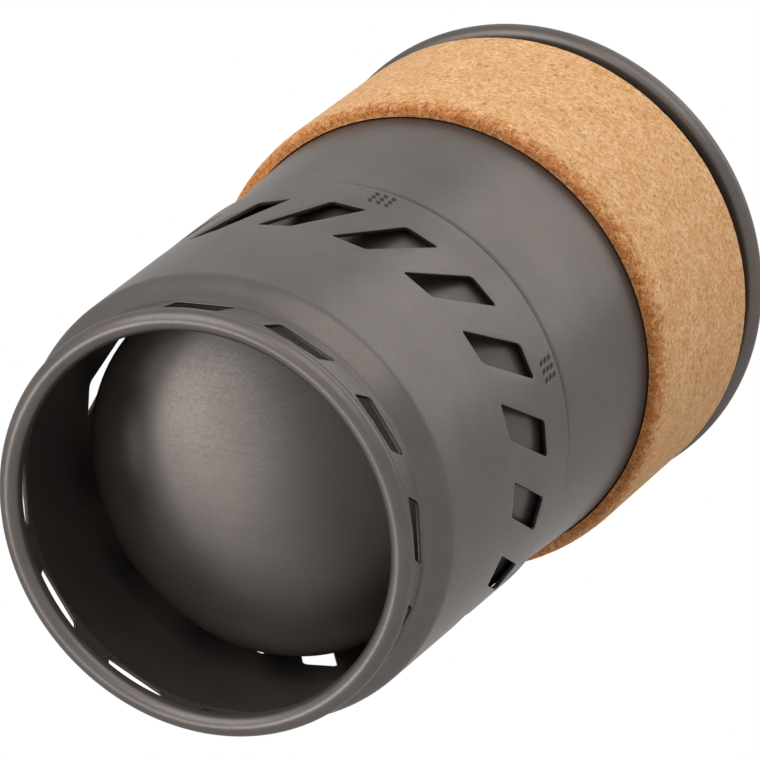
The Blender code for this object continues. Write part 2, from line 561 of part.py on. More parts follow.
def build_valve(brass, rubber, steel, knob_finish, parts, cutters):
    """Valve body with its jet, spindle, packing nut, knob, canister collar, O-ring and opening pin."""
    jet = ring_profile(JET_BORE, JET_RADIUS, VALVE_LOW - SEAT_GAP - JET_LENGTH, VALVE_LOW - SEAT_GAP)
    turned("gas_jet", jet, SMALL_STEPS, brass, parts)

    edge = VALVE_CHAMFER
    body = [(0.0, VALVE_TOP), (VALVE_RADIUS - edge, VALVE_TOP), (VALVE_RADIUS, VALVE_TOP - edge),
            (VALVE_RADIUS, VALVE_LOW + edge), (VALVE_RADIUS - edge, VALVE_LOW), (0.0, VALVE_LOW)]
    valve = turned("valve_body", body, BURNER_STEPS, brass, parts, closed=False)
    pocket = VALVE_RADIUS - SPINDLE_DEPTH
    bm = bmesh.new()
    add_rod(bm, (pocket + SPINDLE_DEPTH, 0.0, SPINDLE_Z), (1.0, 0.0, 0.0), SPINDLE_RADIUS + SPIN_GAP,
            2 * SPINDLE_DEPTH, SMALL_STEPS)
    boolean(valve, cutter_from_bmesh("spindle_cutter", bm, cutters))

    def along_x(thing, start):
        """Lay a piece along X on the spindle's axis."""
        thing.rotation_euler = (0.0, math.pi / 2, 0.0)
        thing.location = (start, 0.0, SPINDLE_Z)

    bm = bmesh.new()
    add_prism(bm, [(x, y, 0.0) for x, y in on_circle(NUT_RADIUS, 6)], (0.0, 0.0, NUT_LENGTH))
    nut = object_from_bmesh("packing_nut", bm, brass, parts)
    along_x(nut, NUT_START)
    bm = bmesh.new()
    add_rod(bm, (NUT_START + NUT_LENGTH / 2, 0.0, SPINDLE_Z), (1.0, 0.0, 0.0), SPINDLE_RADIUS + SPIN_GAP,
            2 * NUT_LENGTH, SMALL_STEPS)
    boolean(nut, cutter_from_bmesh("nut_bore", bm, cutters))
    spindle_start = pocket + SPIN_GAP
    spindle_end = KNOB_START + KNOB_SOCKET - SEAT_GAP
    rod = disc_profile(SPINDLE_RADIUS, 0.0, spindle_end - spindle_start)
    along_x(turned("valve_spindle", rod, SMALL_STEPS, steel, parts, closed=False), spindle_start)

    bm = bmesh.new()
    outline = []
    for k in range(8 * KNOB_LOBES):
        turn = 2 * math.pi * k / (8 * KNOB_LOBES)
        radius = KNOB_RADIUS - KNOB_LOBE_DEPTH * (0.5 - 0.5 * math.cos(KNOB_LOBES * turn))
        outline.append((radius * math.cos(turn), radius * math.sin(turn), 0.0))
    add_prism(bm, outline, (0.0, 0.0, KNOB_LENGTH))
    knob = object_from_bmesh("control_knob", bm, knob_finish, parts)
    along_x(knob, KNOB_START)
    bm = bmesh.new()
    add_rod(bm, (KNOB_START, 0.0, SPINDLE_Z), (1.0, 0.0, 0.0), SPINDLE_RADIUS + SEAT_GAP, 2 * KNOB_SOCKET,
            SMALL_STEPS)
    boolean(knob, cutter_from_bmesh("knob_socket", bm, cutters))

    pin_hole = PIN_RADIUS + SEAT_GAP
    top = COLLAR_LOW + COLLAR_HEIGHT
    collar = [(COLLAR_RADIUS, top), (COLLAR_RADIUS, COLLAR_LOW), (pin_hole, COLLAR_LOW),
              (pin_hole, COLLAR_SEAT), (COLLAR_BORE, COLLAR_SEAT), (COLLAR_BORE, top)]
    turned("canister_collar", collar, BURNER_STEPS, brass, parts)
    centre = (COLLAR_BORE - SEAT_GAP - O_RING_TUBE, COLLAR_SEAT + SEAT_GAP + O_RING_TUBE)
    turned("collar_o_ring", arc(centre, O_RING_TUBE, 0.0, -315.0, 7), 24, rubber, parts)
    turned("opening_pin", disc_profile(PIN_RADIUS, COLLAR_LOW, COLLAR_SEAT + PIN_REACH), 12, steel, parts,
           closed=False)


def main():
    """Build every piece."""
    clear_scene()
    parts = collection("canister_stove")
    cutters = collection("cutters")
    grey = material("hard_anodised_aluminium", (0.18, 0.17, 0.16), 0.42, 0.85)
    cork = material("agglomerated_cork", (0.67, 0.40, 0.19), 0.9, 0.0)
    lid_plastic = material("smoked_polypropylene", (0.09, 0.09, 0.095), 0.35, 0.0)
    silicone = material("silicone_rubber", (0.05, 0.05, 0.05), 0.6, 0.0)
    steel = material("stainless_steel", (0.52, 0.51, 0.49), 0.3, 1.0)
    alloy = material("cast_aluminium", (0.45, 0.45, 0.46), 0.45, 1.0)
    brass = material("turned_brass", (0.60, 0.42, 0.17), 0.3, 1.0)
    knob_plastic = material("glass_filled_nylon", (0.03, 0.03, 0.03), 0.55, 0.0)
    build_skirt(grey, parts, cutters)
    build_pot(grey, parts)
    build_cork(cork, parts)
    build_lid(lid_plastic, parts, cutters)
    build_gasket(silicone, parts)
    build_flap(lid_plastic, steel, parts, cutters)
    bowl, shield = build_burner_head(steel, alloy, parts, cutters)
    build_mixing_tube(brass, steel, bowl, shield, parts, cutters)
    build_valve(brass, silicone, steel, knob_plastic, parts, cutters)


main()
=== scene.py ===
"""Looks for the pot unit of an integrated canister stove, with its plug lid and its stowed burner.

Lengths are in metres, written as millimetres times MM. Z is the pot's axis, from the rolled foot to the rim.
"""

import logging
import math
from collections.abc import Callable
from dataclasses import dataclass, field
from enum import Enum

import bmesh
import bpy
from mathutils import Matrix, Vector, noise
from mathutils.geometry import delaunay_2d_cdt

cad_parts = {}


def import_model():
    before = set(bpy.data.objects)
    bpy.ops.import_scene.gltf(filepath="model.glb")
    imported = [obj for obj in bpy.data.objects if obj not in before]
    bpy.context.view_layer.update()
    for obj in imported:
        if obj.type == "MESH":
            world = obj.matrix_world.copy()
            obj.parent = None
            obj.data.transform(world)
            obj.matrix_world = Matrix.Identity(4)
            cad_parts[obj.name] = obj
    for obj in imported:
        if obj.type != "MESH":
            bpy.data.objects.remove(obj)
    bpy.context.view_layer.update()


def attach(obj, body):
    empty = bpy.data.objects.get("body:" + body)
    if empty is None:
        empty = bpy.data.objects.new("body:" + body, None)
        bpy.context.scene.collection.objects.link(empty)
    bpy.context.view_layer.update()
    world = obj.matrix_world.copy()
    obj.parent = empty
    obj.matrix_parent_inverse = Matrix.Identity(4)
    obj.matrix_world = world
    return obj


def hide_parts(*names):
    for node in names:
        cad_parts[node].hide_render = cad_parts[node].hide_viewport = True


LOG = logging.getLogger("canister_stove")
MM = 0.001
STOWED = 32.75 * MM
ROUND_STEPS = 360
SMALL_STEPS = 96
JOIN_DISTANCE = 0.003 * MM
NOTHING = 1e-7
SHARP_ANGLE = math.radians(38.0)
NEARLY_STRAIGHT = math.radians(88.0)
SHARE_OF_SIDE = 0.45
ALONG_X = Matrix.Rotation(math.pi / 2, 4, "Y")

Point = tuple[float, float]
Place = tuple[float, float, float]
Profile = list[Point]
Mesh = bmesh.types.BMesh
Socket = bpy.types.NodeSocket
Outputs = bpy.types.bpy_prop_collection


class Body(Enum):
    """The moving bodies of the CAD model."""

    POT = "pot"
    LID = "lid"
    FLAP = "pour_flap"
    BURNER = "burner"
    KNOB = "knob"


class Cut(Enum):
    """What a second shape does to the first."""

    JOIN = "UNION"
    TAKE_AWAY = "DIFFERENCE"
    KEEP = "INTERSECT"


def linear(code: str) -> tuple[float, float, float, float]:
    """Turn an sRGB hex colour, such as #a0b0c0, into linear RGBA."""
    parts = [int(code[i:i + 2], 16) / 255 for i in (1, 3, 5)]
    return (*[c / 12.92 if c <= 0.04045 else ((c + 0.055) / 1.055) ** 2.4 for c in parts], 1.0)


# Profiles and plain solids


def arc(centre: Point, radius: float, start: float, end: float, count: int) -> Profile:
    """Points of an arc between two angles in degrees, both ends included."""
    turns = [math.radians(start + (end - start) * i / count) for i in range(count + 1)]
    return [(centre[0] + radius * math.cos(t), centre[1] + radius * math.sin(t)) for t in turns]


def above(base: float, *points: Point) -> Profile:
    """Profile points given in millimetres, as (radius, height above a base)."""
    return [(radius * MM, base + height * MM) for radius, height in points]


def rounded(points: Profile, radius: float, closed: bool = False, steps: int = 4) -> Profile:
    """Round the corners of a profile.

    Args:
        points: Corners as (radius, height).
        radius: Rounding radius, taken smaller where a side is short.
        closed: Whether the last corner joins the first.
        steps: Facets of each rounding.

    Returns:
        The rounded profile.
    """
    corners = [Vector(p) for p in points]
    count = len(corners)
    made: Profile = []
    for i, corner in enumerate(corners):
        before, after = corners[i - 1] - corner, corners[(i + 1) % count] - corner
        is_end = not closed and i in (0, count - 1)
        half = 0.0 if is_end else before.angle(after) / 2
        if is_end or half > NEARLY_STRAIGHT:
            made.append(tuple(corner))
            continue
        reach = min(radius / math.tan(half), SHARE_OF_SIDE * before.length, SHARE_OF_SIDE * after.length)
        start, end = corner + before.normalized() * reach, corner + after.normalized() * reach
        for k in range(steps + 1):
            t = k / steps
            made.append(tuple(start * (1 - t) ** 2 + corner * 2 * t * (1 - t) + end * t ** 2))
    return made


def turned(profile: Profile, steps: int = ROUND_STEPS, closed: bool = True) -> Mesh:
    """Sweep a profile round Z.

    Args:
        profile: Points as (radius, height). An open one begins and ends on the axis.
        steps: Facets round the axis.
        closed: Whether the profile's last point joins its first.

    Returns:
        A closed solid with its faces outwards.
    """
    bm = bmesh.new()
    turns = [(math.cos(2 * math.pi * k / steps), math.sin(2 * math.pi * k / steps)) for k in range(steps)]
    rings = []
    for radius, height in profile:
        if radius < NOTHING:
            rings.append([bm.verts.new((0.0, 0.0, height))] * steps)
        else:
            rings.append([bm.verts.new((radius * c, radius * s, height)) for c, s in turns])
    for low, high in zip(rings, rings[1:] + rings[:int(closed)]):
        for k in range(steps):
            corners = [low[k], low[(k + 1) % steps], high[(k + 1) % steps], high[k]]
            unlike = [v for i, v in enumerate(corners) if v is not corners[i - 1]]
            if len(unlike) > 2:
                bm.faces.new(unlike)
    bmesh.ops.recalc_face_normals(bm, faces=bm.faces[:])
    return bm


def wedge(profile: Profile, span: float, steps: int, rule: Callable[[float, float], float]) -> Mesh:
    """One sector of a turned shape, its radius changed by a rule.

    Args:
        profile: Points as (radius, height), open.
        span: The sector's angle.
        steps: Facets across the sector.
        rule: Takes the share of the span and the radius, and gives the new radius.

    Returns:
        The sector's skin, open at both borders.
    """
    bm = bmesh.new()
    rings = []
    for k in range(steps + 1):
        turn = span * k / steps
        radii = [rule(k / steps, radius) for radius, _ in profile]
        rings.append([bm.verts.new((r * math.cos(turn), r * math.sin(turn), height))
                      for r, (_, height) in zip(radii, profile)])
    for near, far in zip(rings, rings[1:]):
        for i in range(len(profile) - 1):
            bm.faces.new((near[i], near[i + 1], far[i + 1], far[i]))
    bmesh.ops.remove_doubles(bm, verts=bm.verts[:], dist=JOIN_DISTANCE)
    bmesh.ops.dissolve_degenerate(bm, edges=bm.edges[:], dist=NOTHING)
    bmesh.ops.recalc_face_normals(bm, faces=bm.faces[:])
    return bm


def disc(radius: float, low: float, high: float, edge: float) -> Profile:
    """Rounded profile of a solid disc or rod."""
    return rounded([(0.0, high), (radius, high), (radius, low), (0.0, low)], edge)


def box(*spans: tuple[Place, Place]) -> Mesh:
    """One or more boxes in one mesh.

    Args:
        *spans: The lowest and the highest corner of each.

    Returns:
        The boxes.
    """
    bm = bmesh.new()
    for low, high in spans:
        low, high = Vector(low), Vector(high)
        size = Matrix.Diagonal((*(high - low), 1.0))
        bmesh.ops.create_cube(bm, size=1.0, matrix=Matrix.Translation((low + high) / 2) @ size)
    return bm


def laid_along_x(bm: Mesh, place: Vector) -> Mesh:
    """Turn a shape that stands on Z so that it lies along X from a place."""
    bmesh.ops.transform(bm, matrix=Matrix.Translation(place) @ ALONG_X, verts=bm.verts[:])
    return bm


def rod_along_x(radius: float, start: float, end: float, axis: Point, edge: float = 0.0) -> Mesh:
    """A round rod along X between two places, on an axis given as (y, z)."""
    bm = turned(disc(radius, 0.0, end - start, edge), SMALL_STEPS, closed=False)
    return laid_along_x(bm, Vector((start, *axis)))


# Node trees


class Nodes:
    """A node tree under construction."""

    def __init__(self, tree: bpy.types.NodeTree) -> None:
        """Start work on a tree."""
        self.tree = tree

    def add(self, kind: str, inputs: dict | None = None, **settings: object) -> bpy.types.Node:
        """Add a node with its settings, and link or set its inputs.

        Args:
            kind: The node's type name.
            inputs: Socket name or number to a value, or to the output socket that feeds it.
            **settings: Attributes of the node.

        Returns:
            The new node.
        """
        made = self.tree.nodes.new(kind)
        for key, value in settings.items():
            setattr(made, key, value)
        for key, value in (inputs or {}).items():
            if isinstance(value, Socket):
                self.tree.links.new(value, made.inputs[key])
            else:
                made.inputs[key].default_value = value
        return made

    def out(self, kind: str, inputs: dict | None = None, **settings: object) -> Socket:
        """Add a node and give its first output."""
        return self.add(kind, inputs, **settings).outputs[0]

    def math(self, operation: str, *values: float | Socket, **settings: object) -> Socket:
        """A sum, product or other function of numbers."""
        return self.out("ShaderNodeMath", dict(enumerate(values)), operation=operation, **settings)

    def vector(self, x: float | Socket = 0.0, y: float | Socket = 0.0, z: float | Socket = 0.0) -> Socket:
        """A vector from its parts."""
        return self.out("ShaderNodeCombineXYZ", {0: x, 1: y, 2: z})

    def parts(self, vector: Socket) -> Outputs:
        """The three parts of a vector."""
        return self.add("ShaderNodeSeparateXYZ", {0: vector}).outputs

    def of_vectors(self, operation: str, inputs: dict[int, object]) -> Socket:
        """A function of vectors, as a number for a length."""
        made = self.add("ShaderNodeVectorMath", inputs, operation=operation)
        return made.outputs["Value" if operation == "LENGTH" else "Vector"]


class Arrangement(Nodes):
    """A Geometry Nodes tree with named inputs."""

    def __init__(self, name: str, **sizes: float) -> None:
        """Start a tree.

        Args:
            name: The tree's name.
            **sizes: Input name to its default, a whole number for a count.
        """
        super().__init__(bpy.data.node_groups.new(name, "GeometryNodeTree"))
        self.declare("Piece", "Geometry")
        for label, value in sizes.items():
            self.declare(label, "Int" if isinstance(value, int) else "Float").default_value = value
        self.declare("Finish", "Material")
        self.declare("Piece", "Geometry", "OUTPUT")
        self.given = self.add("NodeGroupInput").outputs

    def declare(self, label: str, kind: str, way: str = "INPUT") -> bpy.types.NodeTreeInterfaceSocket:
        """Add a socket to the tree's interface."""
        return self.tree.interface.new_socket(label, in_out=way, socket_type="NodeSocket" + kind)

    def keys(self) -> dict[str, str]:
        """Each input's name and identifier."""
        return {s.name: s.identifier for s in self.tree.interface.items_tree if s.in_out == "INPUT"}

    def on_circle(self, step: Socket, height: float | Socket = 0.0) -> tuple[Socket, Socket]:
        """Points on the given circle from the given phase on.

        Args:
            step: Angle from one point to the next.
            height: Height of the points.

        Returns:
            The points, and the angle of each.
        """
        index = self.out("GeometryNodeInputIndex")
        turn = self.math("ADD", self.math("MULTIPLY", index, step), self.given["Phase"])
        circle = self.given["Circle"]
        x, y = (self.math("MULTIPLY", self.math(wave, turn), circle) for wave in ("COSINE", "SINE"))
        place = self.vector(x, y, height)
        return self.out("GeometryNodePoints", {"Count": self.given["Count"], "Position": place}), turn

    def end(self, geometry: Socket) -> "Arrangement":
        """Realize the instances and set the finish at the tree's end.

        Args:
            geometry: What the tree has made.

        Returns:
            The tree.
        """
        plain = self.out("GeometryNodeRealizeInstances", {"Geometry": geometry})
        joined = self.out("GeometryNodeMergeByDistance", {"Geometry": plain, "Distance": JOIN_DISTANCE})
        self.add("NodeGroupOutput", {0: self.out("GeometryNodeSetMaterial", {
            "Geometry": joined, "Material": self.given["Finish"]})})
        return self


def round_the_axis() -> Arrangement:
    """A piece repeated round Z: sectors that close a ring, or screws on a circle.

    Returns:
        The tree.
    """
    plan = Arrangement("round_the_axis", Count=6, Circle=0.0, Phase=0.0)
    points, turn = plan.on_circle(plan.math("DIVIDE", 2 * math.pi, plan.given["Count"]))
    return plan.end(plan.out("GeometryNodeInstanceOnPoints", {
        "Points": points, "Instance": plan.given["Piece"], "Rotation": plan.vector(z=turn)}))


def round_holes() -> Arrangement:
    """Round holes on an arc, cut through a plate along Z.

    Returns:
        The tree.
    """
    plan = Arrangement("round_holes", Count=7, Circle=40 * MM, Phase=0.0, Step=0.1, Radius=1.5 * MM,
                       Height=0.0, Depth=6 * MM)
    given = plan.given
    points, _ = plan.on_circle(given["Step"], given["Height"])
    drill = plan.out("GeometryNodeMeshCylinder", {"Vertices": 32, "Radius": given["Radius"],
                                                  "Depth": given["Depth"]})
    drills = plan.out("GeometryNodeInstanceOnPoints", {"Points": points, "Instance": drill})
    plain = plan.out("GeometryNodeRealizeInstances", {"Geometry": drills})
    return plan.end(plan.out("GeometryNodeMeshBoolean", {"Mesh 1": given["Piece"], "Mesh 2": plain},
                             operation="DIFFERENCE"))


def woven_wire() -> Arrangement:
    """Round wire woven over and under on a square pitch, trimmed to a disc.

    Returns:
        The tree.
    """
    plan = Arrangement("woven_wire", Count=31, Pitch=2 * MM, Wire=0.5 * MM, Radius=32 * MM, Height=0.0)
    given = plan.given
    gaps = plan.math("SUBTRACT", given["Count"], 1.0)
    half = plan.math("MULTIPLY", plan.math("MULTIPLY", gaps, given["Pitch"]), 0.5)
    back = plan.math("MULTIPLY", half, -1.0)
    rows = plan.out("GeometryNodeMeshLine", {"Count": given["Count"], "Start Location": plan.vector(y=back),
                                             "Offset": plan.vector(y=given["Pitch"])}, mode="OFFSET")
    straight = plan.out("GeometryNodeCurvePrimitiveLine", {"Start": plan.vector(back),
                                                           "End": plan.vector(half)})
    fine = plan.out("GeometryNodeResampleCurve", {
        "Curve": straight, "Count": plan.math("ADD", plan.math("MULTIPLY", gaps, 4.0), 1.0)})
    wires = plan.out("GeometryNodeInstanceOnPoints", {"Points": rows, "Instance": fine})
    laid = plan.out("GeometryNodeRealizeInstances", {"Geometry": wires})
    place = plan.out("GeometryNodeInputPosition")
    x, y = (plan.math("DIVIDE", part, given["Pitch"]) for part in plan.parts(place)[:2])
    row = plan.math("MULTIPLY", plan.math("ROUND", y), math.pi)
    wave = plan.math("COSINE", plan.math("ADD", plan.math("MULTIPLY", x, math.pi), row))
    outside = plan.math("GREATER_THAN", plan.of_vectors("LENGTH", {0: place}), given["Radius"])
    trimmed = plan.out("GeometryNodeDeleteGeometry", {"Geometry": laid, "Selection": outside}, domain="POINT")
    section = plan.out("GeometryNodeCurvePrimitiveCircle", {
        "Resolution": 6, "Radius": plan.math("MULTIPLY", given["Wire"], 0.5)})
    sets = []
    for sense, turn in ((0.5, 0.0), (-0.5, math.pi / 2)):
        lift = plan.math("MULTIPLY", plan.math("MULTIPLY", wave, given["Wire"]), sense)
        bent = plan.out("GeometryNodeSetPosition", {"Geometry": trimmed, "Offset": plan.vector(z=lift)})
        tube = plan.out("GeometryNodeCurveToMesh", {"Curve": bent, "Profile Curve": section,
                                                    "Fill Caps": True})
        sets.append(plan.out("GeometryNodeTransform", {
            "Geometry": tube, "Translation": plan.vector(z=given["Height"]), "Rotation": (0.0, 0.0, turn)}))
    both = plan.add("GeometryNodeJoinGeometry")
    for part in (*sets, given["Piece"]):
        plan.tree.links.new(part, both.inputs[0])
    return plan.end(both.outputs[0])


# Finishes


class Coat(Nodes):
    """The shader of one finish."""

    def __init__(self, tree: bpy.types.NodeTree) -> None:
        """Start from the plain shader and the object's own coordinates.

        Args:
            tree: The material's tree.
        """
        super().__init__(tree)
        self.shader = tree.nodes["Principled BSDF"].inputs
        self.place = self.add("ShaderNodeTexCoord").outputs["Object"]

    def feed(self, name: str, value: Socket) -> None:
        """Link a value to one of the shader's inputs."""
        self.tree.links.new(value, self.shader[name])

    def grain(self, size: float, detail: float = 2.0, place: Socket | None = None) -> Socket:
        """Noise whose features are about as wide as a size in metres."""
        return self.out("ShaderNodeTexNoise", {"Vector": place or self.place, "Scale": 0.5 / size,
                                               "Detail": detail, "Roughness": 0.55})

    def ramp(self, value: Socket, low: float, high: float, start: float, end: float,
             **settings: object) -> Socket:
        """Values from low to high turned into values from start to end, and held beyond."""
        return self.out("ShaderNodeMapRange", {"Value": value, "From Min": low, "From Max": high,
                                               "To Min": start, "To Max": end}, **settings)

    def spread(self, value: Socket, low: float, high: float) -> Socket:
        """Noise values, which lie near one half, spread from a low to a high number."""
        return self.ramp(value, 0.3, 0.7, low, high)

    def blend(self, share: float | Socket, first: str | Socket, second: str | Socket,
              kind: str = "MIX") -> Socket:
        """Two colours mixed by a share, each a hex code or a socket."""
        first, second = (linear(c) if isinstance(c, str) else c for c in (first, second))
        return self.add("ShaderNodeMix", {0: share, 6: first, 7: second}, data_type="RGBA",
                        blend_type=kind).outputs[2]

    def relief(self, height: Socket, depth: float) -> None:
        """Bump from a height of 0 to 1, which stands for a depth in metres."""
        bump = self.out("ShaderNodeBump", {"Height": height, "Distance": depth, "Strength": 1.0})
        self.feed("Normal", bump)

    def wound(self, round_scale: float, long_scale: float) -> Socket:
        """Coordinates in which noise becomes lines left by turning.

        Args:
            round_scale: Features round the axis.
            long_scale: Lines a metre, along the axis and outwards.

        Returns:
            The coordinates.
        """
        x, y, z = self.parts(self.place)
        flat = self.vector(x, y)
        rows = self.math("ADD", self.of_vectors("LENGTH", {0: flat}), z)
        turns = self.of_vectors("SCALE", {0: self.of_vectors("NORMALIZE", {0: flat}), 3: round_scale})
        return self.of_vectors("ADD", {0: turns, 1: self.vector(z=self.math("MULTIPLY", rows, long_scale))})


@dataclass(frozen=True)
class Finish:
    """A real finish and the material that shows it."""

    slot: str
    colour: str
    roughness: float
    metallic: float = 0.0
    ior: float = 1.5

    def material(self) -> bpy.types.Material:
        """The Blender material, made once and kept under the slot's name.

        Returns:
            The material.
        """
        name = "finish_" + self.slot
        if name in bpy.data.materials:
            return bpy.data.materials[name]
        made = bpy.data.materials.new(name)
        made.use_nodes = True
        coat = Coat(made.node_tree)
        coat.shader["Base Color"].default_value = linear(self.colour)
        coat.shader["Roughness"].default_value = self.roughness
        coat.shader["Metallic"].default_value = self.metallic
        if self.metallic == 0.0:
            coat.shader["IOR"].default_value = self.ior
        self.paint(coat)
        return made

    def paint(self, coat: Coat) -> None:
        """Add the finish's pattern. A subclass does so."""

    def vary(self, coat: Coat, pattern: Socket, less: float, more: float) -> None:
        """Let the roughness follow a pattern."""
        coat.feed("Roughness", coat.spread(pattern, self.roughness - less, self.roughness + more))


class HardAnodisedAluminium(Finish):
    """Drawn aluminium sheet, etched matt and hard anodised.

    The thick oxide scatters light, so edges of highlights are soft and it reflects less at a slant than
    bare metal. The sheet's rolling lines still show faintly on the flat bottom, the etch leaves a fine
    grain, and weld marks are darker. The mesh's value weld_mark_and_painted_shade also carries painted
    shade: on cut edges, on one side of the dome, above the lap and at the cork's lower edge.
    """

    def paint(self, coat: Coat) -> None:
        """Etch grain of 0.25 mm, rolling lines 0.3 mm wide on the bottom, and a faint uneven tone.

        Args:
            coat: The shader to paint on.
        """
        dark, mark_and_shade_dark = "#504a47", "#120f0d"
        coat.shader["Specular Tint"].default_value = linear("#c0bebc")
        etch = coat.grain(0.25 * MM)
        rolled = coat.out("ShaderNodeMapping", {
            "Vector": coat.place, "Rotation": (0, 0, math.radians(-46.5)), "Scale": (40.0, 1.0, 40.0)},
            vector_type="TEXTURE")
        lines = coat.spread(coat.grain(0.3 * MM, 3.0, rolled), -0.10, 0.22)
        up = coat.parts(coat.add("ShaderNodeNewGeometry").outputs["Normal"])[2]
        flat = coat.ramp(coat.math("ABSOLUTE", up), 0.25, 0.8, 0.12, 1.0)
        colour = coat.blend(coat.spread(coat.grain(9 * MM), 0.0, 0.45), self.colour, dark)
        colour = coat.blend(coat.spread(etch, 0.0, 0.28), colour, dark)
        colour = coat.blend(coat.math("MULTIPLY", lines, flat, use_clamp=True), colour, dark)
        # Weld marks are darker, and the same value paints shade on cut edges, one side of the dome, above the
        # lap and under the cork.
        weld_mark_and_painted_shade = coat.add("ShaderNodeAttribute", attribute_name="weld_mark_and_painted_shade").outputs["Fac"]
        coat.feed("Base Color", coat.blend(coat.math("MULTIPLY", weld_mark_and_painted_shade, 0.9), colour, mark_and_shade_dark))
        self.vary(coat, etch, 0.04, 0.04)
        coat.relief(etch, 0.004 * MM)


class AgglomeratedCork(Finish):
    """Granules of cork bark pressed with binder into a sleeve and sanded.

    Grains of 0.4 to 0.9 mm in several tans, brown bark specks and small open pores. The lower edge is cut,
    torn and singed darker.
    """

    def paint(self, coat: Coat) -> None:
        """Cells for the granules, finer cells for specks, pores, and the darker lower edge.

        Args:
            coat: The shader to paint on.
        """
        wander = coat.add("ShaderNodeTexNoise", {"Vector": coat.place, "Scale": 900.0, "Detail": 2.0})
        wander = coat.of_vectors("SCALE", {0: wander.outputs["Color"], 3: 0.5 * MM})
        place = coat.of_vectors("ADD", {0: coat.place, 1: wander})
        granules, specks, pores = (
            coat.add("ShaderNodeTexVoronoi", {"Vector": place, "Scale": 1 / size}).outputs
            for size in (0.9 * MM, 0.42 * MM, 2.6 * MM))
        tones, fine_tones = (coat.add("ShaderNodeSeparateColor", {0: cells["Color"]}).outputs
                             for cells in (granules, specks))
        colour = coat.blend(tones[0], "#eac091", "#d09a64")
        colour = coat.blend(coat.spread(coat.grain(2.5 * MM, 3.0), -0.1, 0.6), colour, "#d1965a")
        for tone, low, high, most, other in ((tones[1], 0.72, 0.95, 0.5, "#c58848"),
                                             (fine_tones[0], 0.8, 0.97, 0.6, "#ad6a33"),
                                             (fine_tones[1], 0.75, 0.95, 0.5, "#ecca9c")):
            colour = coat.blend(coat.ramp(tone, low, high, 0.0, most), colour, other)
        pore = coat.math("SUBTRACT", pores["Distance"], coat.grain(4 * MM))
        pore = coat.ramp(pore, -0.46, -0.39, 0.55, 0.0)
        colour = coat.blend(pore, colour, "#8a5a30")
        ragged = coat.spread(coat.grain(0.7 * MM, 3.0), -2.2 * MM, 2.2 * MM)
        height = coat.math("ADD", coat.parts(coat.place)[2], ragged)
        low = PotBody.grip_low
        singed = coat.ramp(height, low - 0.5 * MM, low + 4.4 * MM, 1.0, 0.0, interpolation_type="SMOOTHSTEP")
        colour = coat.blend(singed, colour, "#e6c4a2", kind="MULTIPLY")
        torn = coat.math("MULTIPLY", coat.ramp(fine_tones[2], 0.5, 0.9, 0.0, 0.62), singed)
        coat.feed("Base Color", coat.blend(torn, colour, "#6b3a1c"))
        relief = coat.math("MULTIPLY_ADD", granules["Distance"], -0.6, coat.grain(0.2 * MM))
        coat.relief(coat.math("MULTIPLY_ADD", pore, -1.0, relief), 0.09 * MM)


class TurnedMetal(Finish):
    """Metal turned or pressed round an axis: fine lines round it, and a slightly uneven tone."""

    def paint(self, coat: Coat) -> None:
        """Tool lines about 0.15 mm apart, drawn that coarse so that they show.

        Args:
            coat: The shader to paint on.
        """
        wound = coat.wound(1.5, 0.5 / (0.15 * MM))
        lines = coat.out("ShaderNodeTexNoise", {"Vector": wound, "Scale": 1.0, "Detail": 2.0})
        tone = coat.spread(coat.grain(5 * MM), 0.75, 1.0)
        coat.feed("Base Color", coat.blend(tone, "#3a3632", self.colour))
        self.vary(coat, lines, 0.07, 0.07)
        coat.relief(lines, 0.006 * MM)


class BlastedMetal(Finish):
    """Die-cast metal blasted with fine grit: an even, sparkling grain."""

    def paint(self, coat: Coat) -> None:
        """Pits of 0.3 mm and a tone that drifts over 8 mm.

        Args:
            coat: The shader to paint on.
        """
        pits = coat.grain(0.3 * MM, 3.0)
        tone = coat.spread(coat.grain(8 * MM), 0.8, 1.0)
        coat.feed("Base Color", coat.blend(tone, "#55565a", self.colour))
        self.vary(coat, pits, 0.06, 0.06)
        coat.relief(pits, 0.02 * MM)


class MouldedPlastic(Finish):
    """Moulded plastic or rubber from a spark-eroded mould: a fine satin grain and a faint flow tone."""

    def paint(self, coat: Coat) -> None:
        """Mould grain of 0.2 mm, with the tone drifting over 12 mm.

        Args:
            coat: The shader to paint on.
        """
        mould = coat.grain(0.2 * MM)
        tone = coat.spread(coat.grain(12 * MM), 0.0, 0.25)
        coat.feed("Base Color", coat.blend(tone, self.colour, "#4b4a49"))
        self.vary(coat, mould, 0.05, 0.07)
        coat.relief(mould, 0.012 * MM)


ANODISED = HardAnodisedAluminium("hard_anodised_aluminium", "#66605c", 0.36, 0.65)
CORK = AgglomeratedCork("agglomerated_cork", "#dcab76", 0.88, ior=1.4)
LID_PLASTIC = MouldedPlastic("smoked_polypropylene", "#2c2c2e", 0.34, ior=1.49)
SILICONE = MouldedPlastic("silicone_rubber", "#3c3b3a", 0.55, ior=1.43)
STEEL = TurnedMetal("stainless_steel", "#bebbb6", 0.26, 1.0)
CAST = BlastedMetal("cast_aluminium", "#b4b5b6", 0.45, 1.0)
BRASS = TurnedMetal("turned_brass", "#b9985c", 0.28, 1.0)
NYLON = MouldedPlastic("glass_filled_nylon", "#1f1f20", 0.5, ior=1.53)


